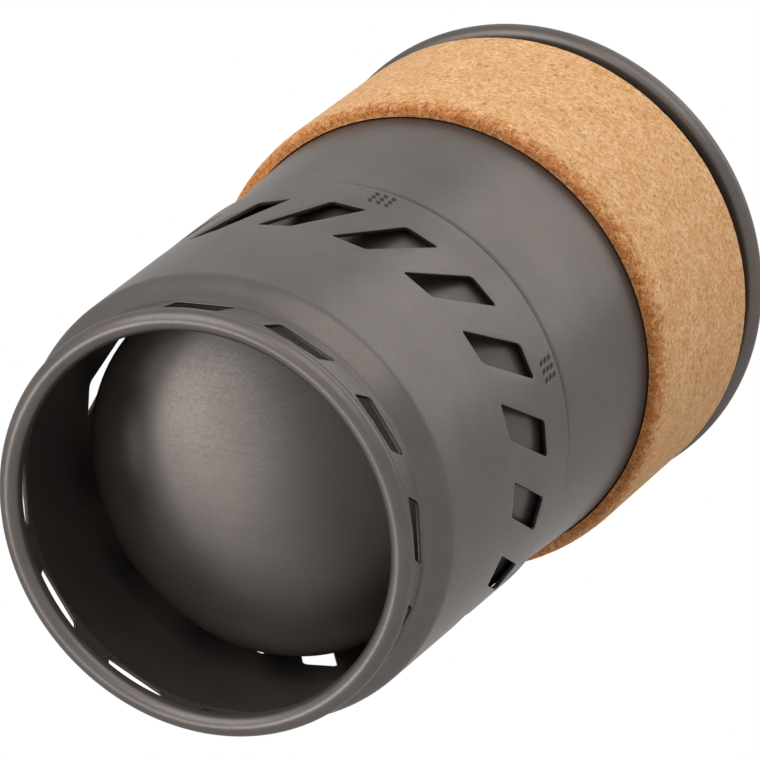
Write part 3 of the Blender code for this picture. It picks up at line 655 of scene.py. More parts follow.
class Workpiece:
    """A mesh on its way to being one finished piece."""

    def __init__(self, name: str, shape: Mesh) -> None:
        """Take over a shape and free it.

        Args:
            name: The piece's name.
            shape: Its shape.
        """
        mesh = bpy.data.meshes.new(name)
        shape.to_mesh(mesh)
        shape.free()
        self.item = bpy.data.objects.new(name, mesh)
        bpy.context.scene.collection.objects.link(self.item)

    def settle(self) -> "Workpiece":
        """Turn what the modifiers make into plain mesh and remove them.

        Returns:
            The piece.
        """
        bpy.context.view_layer.update()
        graph = bpy.context.evaluated_depsgraph_get()
        plain = bpy.data.meshes.new_from_object(self.item.evaluated_get(graph), depsgraph=graph)
        self.item.modifiers.clear()
        old, self.item.data = self.item.data, plain
        bpy.data.meshes.remove(old)
        return self

    def combine(self, cut: Cut, shape: Mesh) -> "Workpiece":
        """Join another shape to the piece, or take it away.

        Args:
            cut: What the other shape does.
            shape: The other shape, which is used up.

        Returns:
            The piece.
        """
        tool = Workpiece("tool", shape).item
        step = self.item.modifiers.new("combine", "BOOLEAN")
        step.operation, step.solver, step.object = cut.value, "EXACT", tool
        self.settle()
        bpy.data.objects.remove(tool)
        return self

    def soften(self, width: float) -> "Workpiece":
        """Round the piece's sharp edges.

        Args:
            width: Width of the rounding.

        Returns:
            The piece.
        """
        step = self.item.modifiers.new("soften", "BEVEL")
        step.width, step.segments, step.limit_method, step.angle_limit = width, 2, "ANGLE", SHARP_ANGLE
        step.use_clamp_overlap = True
        return self.settle()

    def arrange(self, plan: Arrangement, finish: Finish, **sizes: float) -> "Workpiece":
        """Run the piece through a Geometry Nodes tree.

        Args:
            plan: The tree.
            finish: The finish that it sets.
            **sizes: The tree's other inputs.

        Returns:
            The piece.
        """
        step = self.item.modifiers.new("arrange", "NODES")
        step.node_group = plan.tree
        keys = plan.keys()
        for label, value in {**sizes, "Finish": finish.material()}.items():
            step[keys[label]] = value
        return self.settle()

    def dress(self, finish: Finish, body: Body, *nodes: str) -> "Workpiece":
        """Give the piece its finish, and let it ride on a body in place of CAD nodes.

        Args:
            finish: The finish, which is also the material slot.
            body: The body that it moves with.
            *nodes: The CAD nodes that it replaces.

        Returns:
            The piece.
        """
        mesh = self.item.data
        if not any(m == finish.material() for m in mesh.materials):
            mesh.materials.clear()
            mesh.materials.append(finish.material())
        mesh.shade_smooth()
        mesh.set_sharp_from_angle(angle=SHARP_ANGLE)
        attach(self.item, body.value)
        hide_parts(*nodes)
        return self

    def merge(self, other: "Workpiece") -> "Workpiece":
        """Join another workpiece to this one as one solid.

        Args:
            other: The other workpiece, which is used up.

        Returns:
            The piece.
        """
        shape = bmesh.new()
        shape.from_mesh(other.item.data)
        bpy.data.objects.remove(other.item)
        return self.combine(Cut.JOIN, shape)


# The pot unit


@dataclass
class PotBody:
    """Drawn pot: domed bottom, narrow lower wall, widening, tapered wall and curled rim."""

    sheet: float = 1.0 * MM
    dome_radius: float = 41.8 * MM
    dome_low: float = 27.4 * MM
    dome_rise: float = 7.0 * MM
    dome_power: float = 2.0
    widening_low: float = 47.0 * MM
    widening_high: float = 73.0 * MM
    lap_radius: float = 49.3 * MM
    lap_height: float = 77.0 * MM
    wall_radius: float = 51.4 * MM
    grip_low: float = 119.6 * MM
    grip_high: float = 169.3 * MM
    rim_height: float = 179.3 * MM
    rim_bead: float = 2.5 * MM
    curl_end: float = -112.0
    bare_rows: tuple[float, ...] = (0.0, 1.0, 2.0, 2.4, 2.8, 3.2, 3.8, 5.0, 41.0, 41.8, 42.3, 42.6)

    def skin(self, inset: float) -> Profile:
        """Outer profile from the axis up to the curl.

        Args:
            inset: How far it is moved inwards.

        Returns:
            The profile.
        """
        radius, low = self.dome_radius - inset, self.dome_low + inset
        points = []
        for i in range(49):
            share = math.sin(math.pi / 2 * i / 48)
            lift = self.dome_rise * (1 - (1 - share ** self.dome_power) ** (1 / self.dome_power))
            points.append((radius * share, low + lift))
        for i in range(25):
            share = 0.5 - 0.5 * math.cos(math.pi * i / 24)
            height = self.widening_low + (self.widening_high - self.widening_low) * i / 24
            points.append((radius + (self.lap_radius - inset - radius) * share, height))
        for height in self.bare_rows:
            share = height * MM / (self.grip_low - self.lap_height)
            radius = self.lap_radius + (self.wall_radius - self.lap_radius) * share
            points.append((radius - inset, self.lap_height + height * MM))
        return points + [(self.wall_radius - inset, self.grip_high)]

    def curl(self) -> Profile:
        """Rim rolled outwards and down, from the wall's inner face to its outer one.

        Returns:
            The profile.
        """
        centre = (self.wall_radius - self.sheet + self.rim_bead, self.rim_height - self.rim_bead)
        tip = arc(centre, self.rim_bead - self.sheet / 2, self.curl_end, self.curl_end, 1)[0]
        over = arc(centre, self.rim_bead, 180.0, 90.0, 10) + arc(centre, self.rim_bead, 90.0, 0.0, 10)[1:]
        over += arc(centre, self.rim_bead, 0.0, self.curl_end, 14)[1:]
        over += arc(tip, self.sheet / 2, self.curl_end, self.curl_end - 180.0, 6)[1:-1]
        return over + arc(centre, self.rim_bead - self.sheet, self.curl_end, 180.0, 24)

    def painted_shade(self, spot: Vector) -> float:
        """Painted shade: darker on one side of the dome and the lower wall, a painted shadow on the wall
        above the lap, and a darker line at the cork's lower edge.

        Args:
            spot: A place on the pot.

        Returns:
            The share of soot in the finish.
        """
        if spot.z < self.widening_low:
            # Painted shade on the dome and the lower wall, darker towards one side and a little towards the
            # edge.
            share = min(max((0.34 * spot.x - 0.94 * spot.y + 15 * MM) / (35 * MM), 0.0), 1.0)
            outer = min(max(math.hypot(spot.x, spot.y) / (12 * MM) - 2.0, 0.0), 1.0)
            return (0.8 + 0.12 * outer) * share * share * (3 - 2 * share)
        # Painted shadow on the wall just above the lap, and a painted dark line of shade at the cork's lower
        # edge.
        lap = 0.75 - max(0.0, spot.z - self.lap_height - 2.0 * MM) / (2.4 * MM)
        grip = 0.35 - abs(spot.z - self.grip_low) / (1.6 * MM)
        return max(lap if spot.z > self.lap_height - 1.0 * MM else 0.0, grip, 0.0)

    def build(self) -> list[Workpiece]:
        """Make the pot and dress it.

        Returns:
            The piece.
        """
        bm = turned(self.skin(self.sheet) + self.curl() + self.skin(0.0)[::-1], closed=False)
        # Painted shade stored on each vertex, read by the anodised finish.
        weld_mark_and_painted_shade = bm.verts.layers.float.new("weld_mark_and_painted_shade")
        for vert in bm.verts:
            vert[weld_mark_and_painted_shade] = self.painted_shade(vert.co)
        return [Workpiece("pot", bm).dress(ANODISED, Body.POT, "pot_body")]


@dataclass
class CorkSleeve:
    """Cork band round the pot's upper wall, its lower edge rounded over."""

    inner: float = 51.7 * MM
    outer: float = 54.8 * MM
    low: float = 119.6 * MM
    high: float = 169.3 * MM
    chamfer_height: float = 6.0 * MM
    chamfer_depth: float = 1.5 * MM
    upper_edge: float = 0.8 * MM
    steps: int = 640
    row: float = 0.5 * MM
    roughness: float = 0.11 * MM

    def profile(self) -> Profile:
        """Section of the band, with close rows so that its surface can be made rough.

        Returns:
            The closed profile.
        """
        top, bottom = self.high - self.upper_edge, self.low + self.chamfer_height
        rows = round((top - bottom) / self.row)
        profile = arc((self.outer - self.upper_edge, top), self.upper_edge, 90.0, 0.0, 4)
        profile += [(self.outer, top + (bottom - top) * i / rows) for i in range(1, rows)]
        for i in range(15):
            turn = math.pi / 2 * i / 14
            profile.append((self.outer - self.chamfer_depth * (1 - math.cos(turn)),
                            self.low + self.chamfer_height * (1 - math.sin(turn))))
        lip = self.outer - self.chamfer_depth
        profile += [(lip + (self.inner - lip) * i / 4, self.low) for i in range(1, 5)]
        return profile + [(self.inner, self.high)]

    def build(self) -> list[Workpiece]:
        """Make the sleeve, with a crumbly surface in its mesh, and dress it.

        Returns:
            The piece.
        """
        bm = turned(self.profile(), self.steps)
        bm.normal_update()
        for vert in bm.verts:
            if math.hypot(vert.co.x, vert.co.y) > self.inner + 0.2 * MM:
                grain = noise.noise(vert.co / (0.9 * MM)) + 0.5 * noise.noise(vert.co / (0.45 * MM))
                vert.co -= vert.normal * self.roughness * min(max(0.35 + 0.65 * grain, 0.0), 1.0)
        return [Workpiece("cork_band", bm).dress(CORK, Body.POT, "cork_sleeve")]


@dataclass
class Opening:
    """One slanted hole in the skirt: its outline, its place and the radius it is measured on."""

    width: float
    height: float
    slant: float
    tip: float
    corner: float
    centre: float
    phase: float
    radius: float
    steps: int = 6

    def outline(self) -> list[Vector]:
        """Parallelogram with its top moved sideways, two small tips and two rounder corners.

        Returns:
            The outline about the origin, anticlockwise.
        """
        narrow, wide, high = (self.width - self.slant) / 2, (self.width + self.slant) / 2, self.height / 2
        corners = [Vector(p) for p in ((-wide, -high), (narrow, -high), (wide, high), (-narrow, high))]
        outline = []
        for i, point in enumerate(corners):
            radius = self.corner if i % 2 else self.tip
            before = (corners[i - 1] - point).normalized()
            after = (corners[(i + 1) % 4] - point).normalized()
            half = before.angle(after) / 2
            centre = point + (before + after).normalized() * (radius / math.sin(half))
            start = point + before * (radius / math.tan(half)) - centre
            turn = (math.pi - 2 * half) / self.steps
            outline += [centre + Matrix.Rotation(turn * k, 2) @ start for k in range(self.steps + 1)]
        return outline

    def loop(self, offset: float) -> list[Point]:
        """The outline grown sideways.

        Args:
            offset: How far it grows.

        Returns:
            Points as (angle, height).
        """
        plain = self.outline()
        made = []
        for i, point in enumerate(plain):
            along = plain[(i + 1) % len(plain)] - plain[i - 1]
            grown = point + Vector((along.y, -along.x)).normalized() * offset
            made.append((math.radians(self.phase) + grown.x / self.radius, self.centre + grown.y))
        return made


def inside(spot: Vector, loop: list[Vector]) -> bool:
    """Whether a place in the plane lies inside a convex anticlockwise loop."""
    return all((loop[i] - loop[i - 1]).cross(spot - loop[i - 1]) > 0 for i in range(len(loop)))


def distance(spot: Vector, loop: list[Vector]) -> float:
    """Distance from a place in the plane to a loop's line.

    Args:
        spot: The place.
        loop: The loop's corners.

    Returns:
        The distance.
    """
    best = 1.0
    for i, end in enumerate(loop):
        start, line = loop[i - 1], end - loop[i - 1]
        share = min(max((spot - start).dot(line) / max(line.length_squared, 1e-16), 0.0), 1.0)
        best = min(best, (spot - start - line * share).length)
    return best


@dataclass
class HeatSkirt:
    """Skirt of one sheet: rolled foot, slotted neck, flare, windowed wall and weld marks.

    A sixth of it, with three windows, two slots and one weld mark, is meshed and repeated round the axis.
    """

    sheet: float = 1.0 * MM
    foot_radius: float = 45.0 * MM
    foot_bead: float = 2.4 * MM
    foot_fillet: float = 1.2 * MM
    neck_radius: float = 46.4 * MM
    neck_low: float = 5.2 * MM
    neck_top: float = 10.4 * MM
    shoulder_radius: float = 50.1 * MM
    shoulder_height: float = 17.7 * MM
    lap_radius: float = 50.6 * MM
    lap_height: float = 77.0 * MM
    window_radius: float = 50.43 * MM
    sectors: int = 6
    sector_start: float = math.radians(-6.8)
    columns: int = 60
    hole_edge: float = 0.2 * MM
    lap_edge: float = 0.3 * MM
    weld_angle: float = math.radians(53.6)
    weld_height: float = 72.7 * MM
    weld_size: float = 5.8 * MM
    weld_depth: float = 0.16 * MM
    weld_grid: int = 30
    dent_lean: float = 0.35
    dent_width: float = 0.34
    dent_height: float = 0.43
    clearance: float = 0.45 * MM
    # Painted shade on the inner faces of the openings' cut edges.
    cut_edge_painted_shade: float = 0.85
    shear_rows: tuple[Point, ...] = ((0.0, 0.0), (20.0, 0.0), (46.0, -6.44), (68.0, 6.32), (80.0, 6.32))
    openings: list[Opening] = field(default_factory=list)

    def __post_init__(self) -> None:
        """Place the windows and slots of one sector."""
        window = (8.2 * MM, 17.4 * MM, 10.1 * MM, 0.5 * MM, 1.8 * MM, 57.1 * MM)
        slot = (14.0 * MM, 3.9 * MM, 2.6 * MM, 0.4 * MM, 1.5 * MM, 7.7 * MM)
        self.openings = [Opening(*window, phase, self.window_radius) for phase in (3.0, 23.0, 43.0)]
        self.openings += [Opening(*slot, phase, self.neck_radius) for phase in (8.4, 38.4)]

    def radius(self, height: float) -> float:
        """Outer radius of the wall.

        Args:
            height: Where.

        Returns:
            The radius.
        """
        share = (height - self.neck_top) / (self.shoulder_height - self.neck_top)
        if share < 1.0:
            flare = 0.5 - 0.5 * math.cos(math.pi * max(share, 0.0))
            return self.neck_radius + (self.shoulder_radius - self.neck_radius) * flare
        share = (height - self.shoulder_height) / (self.lap_height - self.shoulder_height)
        return self.shoulder_radius + (self.lap_radius - self.shoulder_radius) * share

    def shear(self, height: float) -> float:
        """Angle by which a sector's border leans, so that it runs between the windows.

        Args:
            height: Where.

        Returns:
            The angle.
        """
        level, lean = height / MM, self.shear_rows[-1][1]
        for (low, start), (high, end) in zip(self.shear_rows, self.shear_rows[1:]):
            if level <= high:
                lean = start + (end - start) * (level - low) / (high - low)
                break
        return lean * MM / self.window_radius

    def place(self, angle: float, height: float, depth: float) -> Vector:
        """Point of the sheet at a depth below its outer face."""
        radius = self.radius(height) - depth
        return Vector((radius * math.cos(angle), radius * math.sin(angle), height))

    def weld_dent(self, angle: float, height: float) -> float:
        """Depth of the weld mark: three rows of three slanted dents.

        Args:
            angle: Angle round the axis.
            height: Height of the place.

        Returns:
            The depth there.
        """
        across = (angle - self.weld_angle) * self.lap_radius
        along = height - self.weld_height
        cell = self.weld_size / 3
        if max(abs(across), abs(along)) >= self.weld_size / 2:
            return 0.0
        column, row = (across / cell + 1.5) % 1 - 0.5, (along / cell + 1.5) % 1 - 0.5
        across_dent = max(0.0, 1 - (abs(column + self.dent_lean * row) / self.dent_width) ** 4)
        return self.weld_depth * across_dent * max(0.0, 1 - (abs(row) / self.dent_height) ** 6)

    def wall_rows(self) -> list[float]:
        """Heights of the wall's rows, closer where the sheet bends or is pierced.

        Returns:
            The heights.
        """
        flare = self.shoulder_height - self.neck_top
        rows = [self.neck_low + i * 0.65 * MM for i in range(8)]
        rows += [self.neck_top + flare * i / 18 for i in range(19)]
        rows += [self.shoulder_height + i * 2.0 * MM for i in range(1, 15)]
        rows += [47.2 * MM + i * 0.92 * MM for i in range(22)]
        rows += [68.4 * MM + i * 1.0 * MM for i in range(9)]
        return rows + [self.lap_height - self.lap_edge]

    def flat(self, angle: float, height: float) -> Vector:
        """A place in the plane in which the sector's borders are upright."""
        return Vector(((angle - self.shear(height)) * self.lap_radius, height))

    def grid(self, loops: list[list[Vector]]) -> list[Vector]:
        """Places for the wall's mesh, but for those in or beside an opening, and closer ones on the weld.

        Args:
            loops: The openings in the plane.

        Returns:
            The places.
        """
        points = []
        rows, clear = self.wall_rows(), self.clearance
        weld = self.flat(self.weld_angle, self.weld_height)
        spans = [(min(p.x for p in f) - clear, max(p.x for p in f) + clear,
                  min(p.y for p in f) - clear, max(p.y for p in f) + clear) for f in loops]
        for r, height in enumerate(rows):
            for k in range(self.columns + 1):
                angle = self.sector_start + 2 * math.pi / self.sectors * k / self.columns
                spot = Vector((angle * self.lap_radius, height))
                near = [f for f, s in zip(loops, spans) if s[0] < spot.x < s[1] and s[2] < spot.y < s[3]]
                off_weld = max(abs(spot.x - weld.x), abs(spot.y - weld.y)) - self.weld_size / 2
                pierced = any(inside(spot, f) or distance(spot, f) < clear for f in near)
                border = k in (0, self.columns) or r in (0, len(rows) - 1)
                if border or not (pierced or off_weld < 0.35 * MM):
                    points.append(spot)
        shares = [i / self.weld_grid - 0.5 for i in range(self.weld_grid + 1)]
        size = self.weld_size + 0.2 * MM
        return points + [weld + Vector((a, b)) * size for a in shares for b in shares]

    def flat_mesh(self) -> tuple[list[Point], list[list[int]]]:
        """Triangulate one sector of the wall in the plane, round its openings.

        Returns:
            Points as (angle, height) and triangles.
        """
        loops = [[self.flat(*p) for p in opening.loop(self.hole_edge)] for opening in self.openings]
        points = self.grid(loops)
        edges = []
        for loop in loops:
            first = len(points)
            points += loop
            edges += [(first + i, first + (i + 1) % len(loop)) for i in range(len(loop))]
        made, _, faces, *_ = delaunay_2d_cdt(points, edges, [], 0, 1e-8)
        kept = []
        for face in faces:
            middle = sum((made[i] for i in face), Vector((0.0, 0.0))) / len(face)
            if not any(inside(middle, f) for f in loops):
                kept.append(list(face))
        return [(p.x / self.lap_radius + self.shear(p.y), p.y) for p in made], kept

    def sector(self) -> Mesh:
        """One sixth of the skirt, closed but for its two borders.

        Returns:
            The shape.
        """
        bm = bmesh.new()
        # One layer for the weld marks' darker tone and for painted shade on the cut edges.
        weld_mark_and_painted_shade = bm.verts.layers.float.new("weld_mark_and_painted_shade")
        points, faces = self.flat_mesh()
        for depth in (0.0, self.sheet):
            dents = [0.0 if depth else self.weld_dent(a, h) for a, h in points]
            verts = [bm.verts.new(self.place(a, h, depth + dent)) for (a, h), dent in zip(points, dents)]
            for vert, dent in zip(verts, dents):
                vert[weld_mark_and_painted_shade] = dent / self.weld_depth
            for face in faces:
                bm.faces.new([verts[i] for i in (face if not depth else face[::-1])])
        for opening in self.openings:
            self.pierce(bm, weld_mark_and_painted_shade, opening)
        for profile, lean in ((self.foot_profile(), self.neck_low), (self.lap_profile(), self.lap_height)):
            start = self.sector_start + self.shear(lean)
            turns = [start + 2 * math.pi / self.sectors * k / self.columns for k in range(self.columns + 1)]
            rings = [[bm.verts.new((r * math.cos(a), r * math.sin(a), h)) for a in turns] for r, h in profile]
            self.bridge(bm, rings, closed=False)
        bmesh.ops.remove_doubles(bm, verts=bm.verts[:], dist=JOIN_DISTANCE)
        bmesh.ops.recalc_face_normals(bm, faces=bm.faces[:])
        return bm

    def pierce(self, bm: Mesh, weld_mark_and_painted_shade: bmesh.types.BMLayerItem, opening: Opening) -> None:
        """Line an opening with its rounded cut edge, with painted shade on its inner faces.

        Args:
            bm: The sector.
            weld_mark_and_painted_shade: Its layer for the weld marks' darker tone and for painted shade.
            opening: The opening.
        """
        edge, steps = self.hole_edge, 4
        shelf = [(edge * (1 - math.sin(t)), edge * (1 - math.cos(t)))
                 for t in (math.pi / 2 * i / steps for i in range(steps + 1))]
        shelf += [(offset, self.sheet - depth) for offset, depth in reversed(shelf)]
        rings = [[bm.verts.new(self.place(a, h, depth)) for a, h in opening.loop(offset)]
                 for offset, depth in shelf]
        for row, (offset, depth) in zip(rings, shelf):
            for vert in row:
                # Painted shade on the cut edge's inner faces, between its rounded corners.
                vert[weld_mark_and_painted_shade] = self.cut_edge_painted_shade if depth > 0.9 * edge > offset else 0.0
        self.bridge(bm, rings, closed=True)

    def bridge(self, bm: Mesh, rings: list[list[bmesh.types.BMVert]], closed: bool) -> None:
        """Join rows of vertices with quads.

        Args:
            bm: The sector.
            rings: The rows.
            closed: Whether a row's last vertex joins its first.
        """
        for low, high in zip(rings, rings[1:]):
            for k in range(len(low) - (0 if closed else 1)):
                n = (k + 1) % len(low)
                bm.faces.new((low[k], low[n], high[n], high[k]))

    def foot_profile(self) -> Profile:
        """From the neck's outer face round the rolled foot to its inner face.

        Returns:
            The profile.
        """
        bead, fillet = self.foot_bead, self.foot_fillet
        out = self.neck_radius - self.foot_radius
        rise = math.sqrt((bead + fillet) ** 2 - (out + fillet) ** 2)
        touch = math.degrees(math.atan2(rise, out + fillet))
        close = math.degrees(math.acos((out - self.sheet) / bead))
        centre = (self.foot_radius, bead)
        profile = [(self.neck_radius, self.neck_low)]
        profile += arc((self.neck_radius + fillet, bead + rise), fillet, 180.0, 180.0 + touch, 6)
        profile += arc(centre, bead, touch, -90.0, 12)[1:] + arc(centre, bead, -90.0, close - 360.0, 18)[1:]
        return profile + [(self.neck_radius - self.sheet, self.neck_low)]

    def lap_profile(self) -> Profile:
        """From the wall's outer face over the sheet's upper edge to its inner face.

        Returns:
            The profile.
        """
        edge, low = self.lap_edge, self.lap_height - self.lap_edge
        outer = self.radius(low)
        over = arc((outer - edge, low), edge, 0.0, 90.0, 4)
        return over + arc((outer - self.sheet + edge, low), edge, 90.0, 180.0, 4)

    def build(self) -> list[Workpiece]:
        """Make the skirt from its sectors and dress it."""
        piece = Workpiece("skirt", self.sector()).arrange(round_the_axis(), ANODISED, Count=self.sectors)
        return [piece.dress(ANODISED, Body.POT, "heat_skirt")]


# The plug lid


@dataclass
class PlugLid:
    """Plug lid: a dished shell with a grip bar, a lip gasket, strainer holes and a hinged pour flap."""

    floor_low: float = 166.2 * MM
    floor_top: float = 168.2 * MM
    top: float = 177.7 * MM
    outer: float = 49.6 * MM
    inner: float = 47.4 * MM
    groove_radius: float = 48.4 * MM
    groove_low: float = 169.8 * MM
    groove_top: float = 174.4 * MM
    bar_length: float = 34.0 * MM
    bar_width: float = 3.6 * MM
    ribs: int = 7
    rib_radius: float = 0.45 * MM
    lug_middle: float = 11.55 * MM
    lug_half: float = 1.2 * MM
    lug_top: float = 174.0 * MM
    lug_far: float = -31.3 * MM
    lug_near: float = -25.0 * MM
    pour_half: float = 8.0 * MM
    pour_far: float = -39.5 * MM
    pour_near: float = -32.5 * MM
    flap_tip: float = -41.5 * MM
    flap_half: float = 10.0 * MM
    strainer_circle: float = 40.0 * MM
    strainer_radius: float = 1.5 * MM
    strainer_step: float = math.radians(9.0)
    hinge: Point = (-28.15 * MM, 170.85 * MM)
    edge: float = 0.35 * MM

    def dish(self) -> Profile:
        """Floor with a raised border, and the wall with its gasket groove.

        Returns:
            The open profile.
        """
        low, top, floor = self.floor_low, self.top, self.floor_top
        step = 0.45 * MM
        return rounded([
            (0.0, floor), (self.inner - 6 * MM, floor), (self.inner - 5.5 * MM, floor + step),
            (self.inner, floor + step), (self.inner, top), (self.outer, top), (self.outer, self.groove_top),
            (self.groove_radius, self.groove_top), (self.groove_radius, self.groove_low),
            (self.outer, self.groove_low), (self.outer, low), (0.0, low)], 2 * self.edge)

    def grip(self) -> Workpiece:
        """Ribbed grip bar and the two hinge lugs.

        Returns:
            The piece, to be merged with the dish.
        """
        half, sunk = self.bar_width / 2, self.floor_low + 1.0 * MM
        bars = [((-self.bar_length / 2, -half, sunk), (self.bar_length / 2, half, self.top))]
        for middle in (-self.lug_middle, self.lug_middle):
            bars.append(((middle - self.lug_half, self.lug_far, sunk),
                         (middle + self.lug_half, self.lug_near, self.lug_top)))
        grip = Workpiece("grip", box(*bars))
        low, high = self.floor_top + 2.2 * MM, self.top - 1.6 * MM
        pitch = self.bar_length / (self.ribs + 2)
        for k in range(self.ribs):
            for side in (-1, 1):
                groove = turned(disc(self.rib_radius, low, high, 0.2 * MM), 16, closed=False)
                shift = Vector(((k - (self.ribs - 1) / 2) * pitch, side * (half + 0.12 * MM), 0.0))
                bmesh.ops.translate(groove, vec=shift, verts=groove.verts[:])
                grip.combine(Cut.TAKE_AWAY, groove)
        return grip.soften(self.edge)

    def shell(self) -> Workpiece:
        """Dish, grip bar and lugs in one, with the pour opening, the pin's bore and the strainer holes.

        Returns:
            The piece.
        """
        low, floor = self.floor_low, self.floor_top
        piece = Workpiece("lid_moulding", turned(self.dish(), closed=False)).merge(self.grip())
        pour = box(((-self.pour_half, self.pour_far, low - MM),
                    (self.pour_half, self.pour_near, floor + 2 * MM)))
        piece.combine(Cut.TAKE_AWAY, pour)
        piece.combine(Cut.TAKE_AWAY, rod_along_x(1.2 * MM, -20 * MM, 20 * MM, self.hinge))
        piece.arrange(round_holes(), LID_PLASTIC, Count=7, Circle=self.strainer_circle,
                      Phase=math.pi / 2 - 3 * self.strainer_step, Step=self.strainer_step,
                      Radius=self.strainer_radius, Height=(low + floor) / 2)
        return piece.dress(LID_PLASTIC, Body.LID, "lid_shell")

    def gasket(self) -> Workpiece:
        """Lip gasket with two rounded ribs in the lid's groove.

        Returns:
            The piece.
        """
        profile = above(0.0, (48.7, 170.1), (49.35, 170.1))
        for height in (171.2 * MM, 173.0 * MM):
            profile += arc((49.35 * MM, height), 0.75 * MM, -90.0, 90.0, 10)
        profile += above(0.0, (49.35, 174.1), (48.7, 174.1))
        return Workpiece("gasket", turned(profile)).dress(SILICONE, Body.LID, "lid_gasket")

    def flap(self) -> Workpiece:
        """Pour flap: a plate with a finger lip on a hinge knuckle.

        Returns:
            The piece.
        """
        tip, half, back = self.flap_tip, self.flap_half, self.hinge[0]
        lip = half - 3 * MM
        plate = Workpiece("flap", box(((-half, tip, 168.5 * MM), (half, back, 170.3 * MM)),
                                      ((-lip, tip, 169.0 * MM), (lip, tip + 1.2 * MM, 171.3 * MM))))
        plate.soften(self.edge)
        plate.combine(Cut.JOIN, rod_along_x(2.35 * MM, -9.98 * MM, 9.98 * MM, self.hinge, 0.3 * MM))
        plate.combine(Cut.TAKE_AWAY, rod_along_x(1.25 * MM, -20 * MM, 20 * MM, self.hinge))
        return plate.dress(LID_PLASTIC, Body.FLAP, "pour_flap")

    def pin(self) -> Workpiece:
        """Hinge pin with rounded ends."""
        rod = rod_along_x(0.9 * MM, -12.75 * MM, 12.75 * MM, self.hinge, 0.3 * MM)
        return Workpiece("hinge_pin", rod).dress(STEEL, Body.LID, "flap_pin")

    def build(self) -> list[Workpiece]:
        """Make the lid's pieces."""
        return [self.shell(), self.gasket(), self.flap(), self.pin()]


# The burner, stowed head down in the pot


